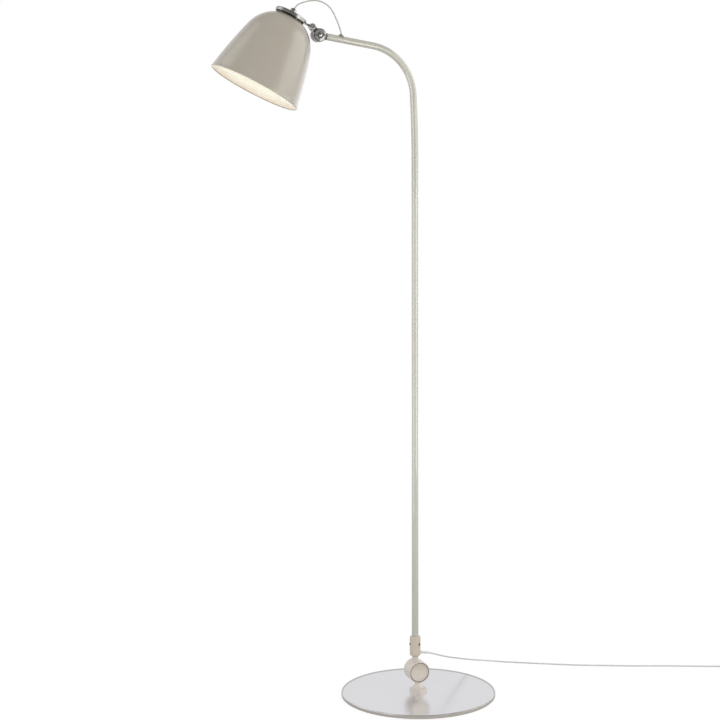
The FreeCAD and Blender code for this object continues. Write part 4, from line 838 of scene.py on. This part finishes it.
@dataclass
class Shade:
    """The spun bell with its rolled rim, lacquered outside and cream inside.

    One outline runs up the outside, back down the inside and round the bead.
    """

    mouth_radius: float = 0.0868
    shoulder_radius: float = 0.0633
    shoulder_height: float = 0.100
    crown_radius: float = 0.027
    hole_radius: float = 0.0043
    skirt_arc: float = 0.830
    skirt_steps: int = 30
    shoulder_arc: float = 0.067
    shoulder_steps: int = 26
    wall: float = 0.001
    bead: float = 0.0013
    bead_start: float = 158.0
    bead_sweep: float = 224.0
    bead_steps: int = 14
    segments: int = 192

    def outside(self) -> list[Corner]:
        """The outer outline from the rim to the crown's hole.

        Returns:
            Its corners.
        """
        rim = (self.mouth_radius, SHADE_MOUTH)
        shoulder = (self.shoulder_radius, SHADE_MOUTH + self.shoulder_height)
        crown = (self.crown_radius, SHADE_CROWN)
        halfway = ((self.crown_radius + self.hole_radius) / 2, SHADE_CROWN)
        skirt = arc(rim, shoulder, self.skirt_arc, self.skirt_steps)
        top = arc(shoulder, crown, self.shoulder_arc, self.shoulder_steps)
        return skirt + top + [crown, halfway, (self.hole_radius, SHADE_CROWN)]

    def inward(self, line: list[Corner]) -> list[Corner]:
        """The same outline one wall further in.

        Args:
            line: The outer outline.

        Returns:
            The inner one, in the same order.
        """
        inner = []
        for index, (radius, height) in enumerate(line):
            before = line[max(index - 1, 0)]
            after = line[min(index + 1, len(line) - 1)]
            run, rise = after[0] - before[0], after[1] - before[1]
            share = self.wall / math.hypot(run, rise)
            inner.append((radius - rise * share, height + run * share))
        inner[-1] = (self.hole_radius, line[-1][1] - self.wall)
        return inner

    def rolled(self) -> list[Corner]:
        """The bead round the rim.

        Returns:
            Its corners.
        """
        middle = self.mouth_radius - self.wall / 2
        shares = [step / self.bead_steps for step in range(self.bead_steps + 1)]
        angles = [math.radians(self.bead_start + self.bead_sweep * share) for share in shares]
        return [
            (middle + self.bead * math.cos(angle), SHADE_MOUTH + self.bead * math.sin(angle))
            for angle in angles
        ]

    def build(self) -> None:
        """Builds the shade and puts it on the head."""
        outline = self.outside()
        outer, inner, bead = outline[1:], self.inward(outline)[:0:-1], self.rolled()
        sides = [Side.OUTSIDE] * len(outer) + [Side.INSIDE] * len(inner)
        sides += [Side.OUTSIDE] * len(bead)
        mesh = lathe(outer + inner + bead, sides, self.segments, HEAD.matrix())
        item = piece("spun_shade", mesh, SHADE_LACQUER, SHADE_INSIDE)
        ride(item, Part.HEAD, "shade_lacquer", "shade")


@dataclass
class Lampholder:
    """The holder's grip ribs and the bulb's screw thread."""

    grip_foot: float = -0.0491
    grip_radius: float = 0.0190
    grip_length: float = 0.020
    grip_count: int = 40
    rib: float = 0.00045
    thread_radius: float = 0.0131
    thread_start: float = -0.0489
    thread_turns: int = 5
    thread_pitch: float = 0.0032
    thread_bead: float = 0.0005

    def build(self) -> None:
        """Builds the ribs and the thread's turns."""
        grown(
            "lampholder_ribs", RibRing("grip_ribs", BAKELITE),
            HEAD.matrix(self.grip_foot + self.grip_length / 2), Part.HEAD, "black_plastic",
            Count=self.grip_count, Radius=self.grip_radius, Rib=self.rib, Length=self.grip_length,
        )
        grown(
            "bulb_thread", RingStack("thread_turns", BULB_METAL),
            HEAD.matrix(self.thread_start), Part.HEAD, "bulb_metal",
            Count=self.thread_turns, Pitch=self.thread_pitch, Radius=self.thread_radius,
            Bead=self.thread_bead,
        )


@dataclass
class HingeTrim:
    """Dark rings round the tilt hinge's two lids, painted shadow in the gaps there, and the grip
    ribs of the chrome hinge.
    """

    axis_height: float = 0.047
    ring_radius: float = 0.01875
    ring_bead: float = 0.00055
    front_ring: float = -0.0075
    rear_ring: float = 0.0238
    grip_radius: float = 0.01215
    grip_length: float = 0.0086
    grip_count: int = 24
    rib: float = 0.0008

    def build(self) -> None:
        """Builds the rings and the ribs."""
        # Painted shadow: black rings where the lids meet the hinge halves, in place of the shadowed
        # gap.
        ring = RingStack("sealing_ring", BLACK)
        rings = {"front": (Part.BASE, self.front_ring), "rear": (Part.POLE, self.rear_ring)}
        for name, (part, depth) in rings.items():
            place = Matrix.Translation((0.0, depth, self.axis_height)) @ ALONG_Y
            grown(
                f"tilt_hinge_{name}_ring", ring, place, part, "black_plastic",
                Count=1, Radius=self.ring_radius, Bead=self.ring_bead,
            )
        grown(
            "head_joint_grip", RibRing("hinge_grip", GRIP_METAL),
            Matrix.Translation(GRIP_CENTRE) @ ALONG_Y, Part.HEAD, "chrome",
            Count=self.grip_count, Radius=self.grip_radius, Rib=self.rib, Length=self.grip_length,
        )


@dataclass
class CoilRoute:
    """Layers of turns that spiral in and out again, clockwise from above.

    Attributes:
        arrival: The last point of the run.
        tangent: Where the first turn starts.
        radius: The outer turn's radius.
        pitch: The distance from turn to turn and from layer to layer.
        turns: How many turns there are in all.
        low: The height of the lowest layer's line.
        climb: The part of a turn before and after a layer's end in which the cord climbs.
    """

    arrival: Point
    tangent: Point
    radius: float = 0.021
    pitch: float = 0.0035
    layers: int = 4
    turns: float = 9.25
    low: float = 0.0021
    climb: float = 0.25

    def __post_init__(self) -> None:
        """Places the coil so that the cord runs into its outer turn."""
        run = (self.tangent[0] - self.arrival[0], self.tangent[1] - self.arrival[1], 0.0)
        way = Vector(run).normalized()
        outside = Vector((-way.y, way.x, 0.0))
        foot = Vector((self.tangent[0], self.tangent[1], self.low))
        self.centre = foot - outside * self.radius
        self.start = math.atan2(outside.y, outside.x)

    def point(self, turns: float) -> Point:
        """A point of the cord's line.

        Args:
            turns: How many turns lie before it.

        Returns:
            The point.
        """
        each = self.turns / self.layers
        layer, part = divmod(turns / each, 1.0)
        inward = part if int(layer) % 2 == 0 else 1.0 - part
        to_end = (part - 1.0) * each
        from_start = part * each
        climbed = 0.0
        if to_end > -self.climb and layer < self.layers - 1:
            climbed = (to_end + self.climb) / (2 * self.climb)
        elif from_start < self.climb and 0 < layer < self.layers:
            climbed = (from_start - self.climb) / (2 * self.climb)
        rise = (min(layer, self.layers - 1) + climbed) * self.pitch
        angle = self.start - 2 * math.pi * turns
        reach = self.radius - each * self.pitch * inward
        offset = Vector((reach * math.cos(angle), reach * math.sin(angle), rise))
        return tuple(self.centre + offset)

    def points(self, each_turn: int = 16) -> list[Point]:
        """All of its points, that many for each turn."""
        steps = round(self.turns * each_turn)
        return [self.point(step / each_turn) for step in range(steps + 1)]

    def leaving(self) -> Vector:
        """The direction in which the cord leaves the last turn."""
        angle = self.start - 2 * math.pi * self.turns
        return Vector((math.sin(angle), -math.cos(angle), 0.0))


@dataclass
class Cord:
    """A round cord along one smooth line.

    Attributes:
        route: The points that its line is drawn towards, from one end to the other.
        nodes: The nodes that it replaces.
        parts: The two bodies that it joins; not used.
        start: Before this point it follows the first body; not used.
        end: After this point it follows the second; not used.
        length: Its real length in metres; not used.
        pieces: The separate pieces on it; not used.
        steps: The line's parts between two points.
        sides: How finely it is rounded.
    """

    name: str
    route: Sequence[Point]
    diameter: float
    nodes: tuple[str, ...]
    parts: tuple[Part, Part]
    start: Point
    end: Point
    length: float
    far_end: str
    lay: str
    stiffness: str
    sheath: Finish = SHEATH
    pieces: Sequence[Object] = ()
    steps: int = 5
    sides: int = 4

    def mesh_of(self, bevel: float) -> Mesh:
        """The plain mesh of the line.

        Args:
            bevel: The thickness round it, or 0 for the line alone.

        Returns:
            The mesh.
        """
        data = bpy.data.curves.new(self.name + "_line", "CURVE")
        data.dimensions = "3D"
        data.resolution_u = self.steps
        data.bevel_depth = bevel
        data.bevel_resolution = self.sides
        data.use_fill_caps = bevel > 0
        spline = data.splines.new("NURBS")
        spline.points.add(len(self.route) - 1)
        for point, place in zip(spline.points, self.route):
            point.co = (*place, 1.0)
        spline.order_u = 3
        spline.use_endpoint_u = True
        item = placed(self.name + "_line", data)
        mesh = plain_mesh(item)
        bpy.data.objects.remove(item)
        bpy.data.curves.remove(data)
        return mesh

    def build(self) -> None:
        line = self.mesh_of(0.0)
        path = [tuple(vertex.co) for vertex in line.vertices]
        bpy.data.meshes.remove(line)
        mesh = smooth(self.mesh_of(self.diameter / 2), degrees=60.0)
        item = piece(self.name, mesh, self.sheath)
        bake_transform(item)
        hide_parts(*self.nodes)
        total = sum((Vector(b) - Vector(a)).length for a, b in zip(path, path[1:]))
        log.info("%s: %d points, %.3f m", self.name, len(path), total)


@dataclass
class HeadLoop:
    """The short loop of flex over the chrome hinge."""

    route: tuple[Point, ...] = (
        (-0.236094, 0.0163, 1.319192), (-0.231233, 0.0163, 1.326162),
        (-0.217633, 0.0163, 1.331162), (-0.198533, 0.0163, 1.334762),
        (-0.180833, 0.0163, 1.331562), (-0.164933, 0.0163, 1.320062),
        (-0.155833, 0.0163, 1.301662), (-0.147861, 0.0163, 1.283411),
        (-0.145821, 0.0163, 1.273479),
    )

    def build(self) -> None:
        """Builds the loop between the head and the pole."""
        Cord(
            "head_loop", self.route, diameter=0.0026, nodes=("head_cord",),
            parts=(Part.POLE, Part.HEAD), start=(-0.150, 0.0163, 1.300),
            end=(-0.236, 0.0163, 1.324), length=0.130, far_end="object", lay="loose",
            stiffness="stiff", sheath=SHADED_LOOP_SHEATH,
        ).build()


@dataclass
class MainsCord:
    """The cord from the sleeve to its coil and plug, with the ribs of its strain reliefs.

    Attributes:
        outlet: Where the sleeve's strain relief starts.
        outlet_slope: How far it points down, in degrees.
        outlet_start: How far out its first rib stands.
        plug_start: How far from its end the first rib on the plug's strain relief stands.
        plug_level: The height of the plug's axis.
        coil_start: Where the first turn of the coil starts.
        run: The points from the sleeve to the coil.
        tail: The points from the coil to the plug: ahead, aside, and the share of the drop.
    """

    outlet: Point = (0.0, 0.0163, 0.0825)
    outlet_slope: float = 10.4
    outlet_start: float = 0.0135
    plug_start: float = 0.001
    plug_level: float = 0.00685
    coil_start: Point = (0.6730, -0.0690, 0.0)
    run: tuple[Point, ...] = (
        (0.0300973, 0.0163, 0.0769761), (0.0405, 0.0168, 0.0735), (0.0560, 0.0240, 0.0667),
        (0.0750, 0.0375, 0.0582), (0.0970, 0.0600, 0.0474), (0.1290, 0.0905, 0.0330),
        (0.1615, 0.1170, 0.0197), (0.1895, 0.1395, 0.0090), (0.2090, 0.1475, 0.0037),
        (0.2250, 0.1450, 0.0017), (0.2390, 0.1345, 0.0015), (0.2570, 0.1240, 0.0015),
        (0.2880, 0.1058, 0.0015), (0.3220, 0.0865, 0.0015), (0.3730, 0.0575, 0.0015),
        (0.4270, 0.0345, 0.0015), (0.4800, 0.0105, 0.0015), (0.5330, -0.0080, 0.0015),
        (0.5840, -0.0310, 0.0015), (0.6300, -0.0495, 0.0015),
    )
    tail: tuple[Point, ...] = (
        (0.014, 0.0, 0.06), (0.030, 0.001, 0.5), (0.044, 0.0, 1.0), (0.058, 0.0, 1.0),
    )

    def build(self) -> None:
        """Builds the cord with its coil and tail, and the ribs on its strain reliefs."""
        coil = CoilRoute(self.run[-1], self.coil_start)
        turns = coil.points()
        way = coil.leaving()
        side = Vector((-way.y, way.x, 0.0))
        last = Vector(turns[-1])
        drop = Vector((0.0, 0.0, last.z - self.plug_level))
        tail = [last + way * on + side * off - drop * share for on, off, share in self.tail]
        ribs = self.relief_ribs(tail[-1], way)
        loose = ("plug_body", "plug_pins", "plug_strain_relief", "coil_tie")
        Cord(
            "mains_lead", [*self.run, *turns, *(tuple(point) for point in tail)],
            diameter=0.0030, nodes=("mains_cord", "mains_coil", "plug_tail"),
            parts=(Part.BASE, Part.POLE), start=(0.0, 0.0, 0.018), end=(0.0, 0.0, 0.074),
            length=1.80, far_end="plug", lay="coiled", stiffness="medium",
            pieces=[*(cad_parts[name] for name in loose), ribs],
        ).build()

    def relief_ribs(self, plug: Vector, way: Vector) -> Object:
        """The soft ribs on the sleeve's strain relief and on the plug's.

        Args:
            plug: Where the plug's strain relief starts.
            way: Its direction.

        Returns:
            The ribs on the plug's.
        """
        stack = RingStack("relief_rings", PLUG_PLASTIC)
        aimed = Vector((0, 0, 1)).rotation_difference(way).to_matrix().to_4x4()
        item = grown(
            "plug_relief_ribs", stack, Matrix.Translation(plug + way * self.plug_start) @ aimed,
            Part.BASE, "cord_grey", Count=6, Pitch=0.0032, Radius=0.00255, Bead=0.0004,
            Taper=0.075,
        )
        slope = Matrix.Translation(self.outlet) @ turn("Y", 90 + self.outlet_slope)
        grown(
            "sleeve_relief_ribs", stack, slope @ Matrix.Translation((0, 0, self.outlet_start)),
            Part.POLE, "cord_grey", Count=6, Pitch=0.0026, Radius=0.00233, Bead=0.00028,
            Taper=-0.0265,
        )
        return item


@dataclass(frozen=True)
class SoftBox:
    """A bright part of the room in reflections: its direction, two cosines and its strength."""

    aim: Point
    outer: float
    inner: float
    strength: float


@dataclass(frozen=True)
class Light:
    """A soft light that shows in no gloss, or a panel that shows in gloss alone."""

    name: str
    place: Point
    aim: Point
    width: float
    height: float
    power: float
    colour: Colour = WHITE
    panel: bool = False

    def build(self) -> None:
        """Hangs the light up and turns it to its aim."""
        data = bpy.data.lights.new(self.name, "AREA")
        data.shape = "RECTANGLE"
        data.size = self.width
        data.size_y = self.height
        data.energy = self.power
        data.color = self.colour
        item = placed(self.name, data)
        if self.panel:
            item.visible_diffuse = item.visible_camera = False
        else:
            item.visible_glossy = False
        away = Vector(self.place) - Vector(self.aim)
        aimed = away.to_track_quat("Z", "Y").to_matrix().to_4x4()
        item.matrix_world = Matrix.Translation(self.place) @ aimed


@dataclass
class Studio:
    """The pale floor, the soft lights, the white room and the camera.

    The camera stands at a distance, a height and an azimuth about the lamp's axis, and yaw,
    pitch and roll turn it away from a level look at that axis.

    Attributes:
        room_light: How bright the room is as a light.
        walls: Brightness in reflections from the room's front to its back.
        above: A factor on it from the walls to straight above.
        floor_half: Half the floor's side in metres.
        floor_tone: The floor's grey as it lights the lamp.
        floor_skin: Its grey under the glow, which takes the shadow.
        floor_glow: The glow that is seen, by the distance from the lamp.
        floor_gloss: More glow in reflections, by the distance from the lamp.
        floor_right: More glow in reflections, towards the right.
    """

    distance: float = 3.7658
    height: float = 1.2277
    azimuth: float = -21.8184
    yaw: float = 1.6849
    pitch: float = 8.5578
    roll: float = -0.2600
    lens: float = 100.0
    sensor: float = 36.0
    clip: Span = (0.05, 60.0)
    room_light: float = 0.58
    walls: Ramp = (-0.85, -0.05, 0.27, 0.78)
    above: Ramp = (0.42, 0.75, 1.0, 0.3)
    boxes: tuple[SoftBox, ...] = (
        SoftBox((0.945, -0.26, 0.20), 0.865, 0.915, 1.35),
        SoftBox((-0.66, 0.41, 0.62), 0.91, 0.98, 0.9),
    )
    lights: tuple[Light, ...] = (
        Light("key", (-2.6, -2.6, 2.6), (-0.1, 0.0, 0.9), 1.4, 1.4, 52.0, (0.98, 0.985, 1.0)),
        Light("fill", (2.8, -2.2, 1.8), (0.0, 0.0, 0.7), 1.8, 1.8, 40.0, (1.0, 0.975, 0.93)),
        Light("top", (0.4, 0.8, 3.2), (-0.1, 0.0, 0.6), 1.6, 1.6, 8.0),
        Light("panel_1", (0.61, -1.37, 0.62), (0.0, 0.0, 0.62), 0.66, 1.00, 5.0, panel=True),
        Light("panel_2", (-1.39, -0.57, 0.70), (0.0, 0.0, 0.70), 0.56, 1.40, 5.2, panel=True),
    )
    floor_half: float = 14.0
    floor_tone: float = 0.80
    floor_skin: float = 0.17
    floor_glow: Ramp = (0.45, 2.2, 0.862, 0.915)
    floor_gloss: Ramp = (0.6, 2.4, -0.36, 0.10)
    floor_right: Ramp = (1.2, 2.6, 0.0, 0.25)

    def camera(self) -> None:
        """Sets the camera where the photograph was taken from."""
        data = bpy.data.cameras.new("camera")
        data.lens = self.lens
        data.sensor_width = self.sensor
        data.clip_start, data.clip_end = self.clip
        item = placed("camera", data)
        stand = turn("Z", self.azimuth) @ Matrix.Translation((0.0, -self.distance, self.height))
        look = turn("Z", self.yaw) @ turn("X", 90.0 - self.pitch) @ turn("Z", self.roll)
        item.matrix_world = stand @ look
        bpy.context.scene.camera = item

    def floor(self) -> None:
        """A pale floor that looks white and keeps the lamp's soft shadow."""
        form = bmesh.new()
        bmesh.ops.create_grid(form, x_segments=2, y_segments=2, size=self.floor_half)
        mesh = bpy.data.meshes.new("floor")
        form.to_mesh(mesh)
        form.free()
        graph = Graph("pale_floor")
        ray = graph.add("ShaderNodeLightPath").outputs
        place = graph.place()
        reach = graph.vector("LENGTH", place)
        right = graph.split(place)["X"]
        far = graph.spread(reach, *self.floor_gloss)
        more = graph.number("ADD", far, graph.spread(right, *self.floor_right))
        own = graph.spread(reach, *self.floor_glow)
        strength = graph.number("MULTIPLY_ADD", more, ray["Is Glossy Ray"], own)
        glow = graph.add("ShaderNodeEmission", WHITE, strength)
        skin = graph.add("ShaderNodeBsdfDiffuse", grey(self.floor_skin))
        seen = graph.number("MAXIMUM", ray["Is Camera Ray"], ray["Is Glossy Ray"])
        shown = graph.number("MAXIMUM", seen, ray["Is Transmission Ray"])
        plain = graph.add("ShaderNodeBsdfDiffuse", grey(self.floor_tone))
        both = graph.add("ShaderNodeAddShader", skin, glow)
        mix = graph.add("ShaderNodeMixShader", shown, plain, both)
        graph.add("ShaderNodeOutputMaterial", mix)
        mesh.materials.append(graph.material)
        placed("floor", mesh)

    def room(self) -> None:
        """A white room: white to the eye, dimmer as a light, and uneven in reflections."""
        world = bpy.data.worlds.new("studio")
        world.use_nodes = True
        tree = Tree(world.node_tree)
        ray = tree.add("ShaderNodeLightPath").outputs
        soft = tree.add("ShaderNodeBackground", WHITE, self.room_light)
        mirrored = tree.add("ShaderNodeBackground", WHITE, self.reflected(tree))
        lit = tree.add("ShaderNodeMixShader", ray["Is Glossy Ray"], soft, mirrored)
        seen = tree.number("MAXIMUM", ray["Is Camera Ray"], ray["Is Transmission Ray"])
        white = tree.add("ShaderNodeBackground", WHITE, 1.0)
        tree.add("ShaderNodeOutputWorld", tree.add("ShaderNodeMixShader", seen, lit, white))
        bpy.context.scene.world = world

    def reflected(self, tree: Tree) -> Node:
        """How bright the room is in reflections: dim in front, with soft boxes at its sides.

        Args:
            tree: The world's tree.

        Returns:
            The node that holds the brightness.
        """
        way = tree.add("ShaderNodeTexCoord").outputs["Generated"]
        split = tree.split(way)
        walls = tree.spread(split["Y"], *self.walls)
        total = tree.number("MULTIPLY", walls, tree.spread(split["Z"], *self.above))
        for box in self.boxes:
            facing = tree.vector("DOT_PRODUCT", way, Vector(box.aim).normalized())
            glow = tree.spread(facing, box.outer, box.inner, 0.0, box.strength)
            glow.interpolation_type = "SMOOTHSTEP"
            total = tree.number("ADD", total, glow)
        return total

    def build(self) -> None:
        """Sets the whole studio up."""
        self.camera()
        self.floor()
        self.room()
        for light in self.lights:
            light.build()
        bpy.context.scene.view_settings.view_transform = "Standard"


def write_sizes() -> None:
    """Defines a helper that turns a box into lists of numbers, and writes nothing."""

    def plain(box: Sequence[Sequence[float]]) -> list[list[float]]:
        """A box as lists of numbers."""
        return [[float(value) for value in corner] for corner in box]


def main() -> None:
    """Builds the lamp's pieces in order, then calls write_sizes, which keeps nothing."""
    logging.basicConfig(level=logging.INFO, format="%(message)s")
    dress_nodes()
    for maker in (Studio, HeadLoop, MainsCord, Shade, Lampholder, HingeTrim):
        maker().build()
    write_sizes()


if __name__ == "__main__":
    main()
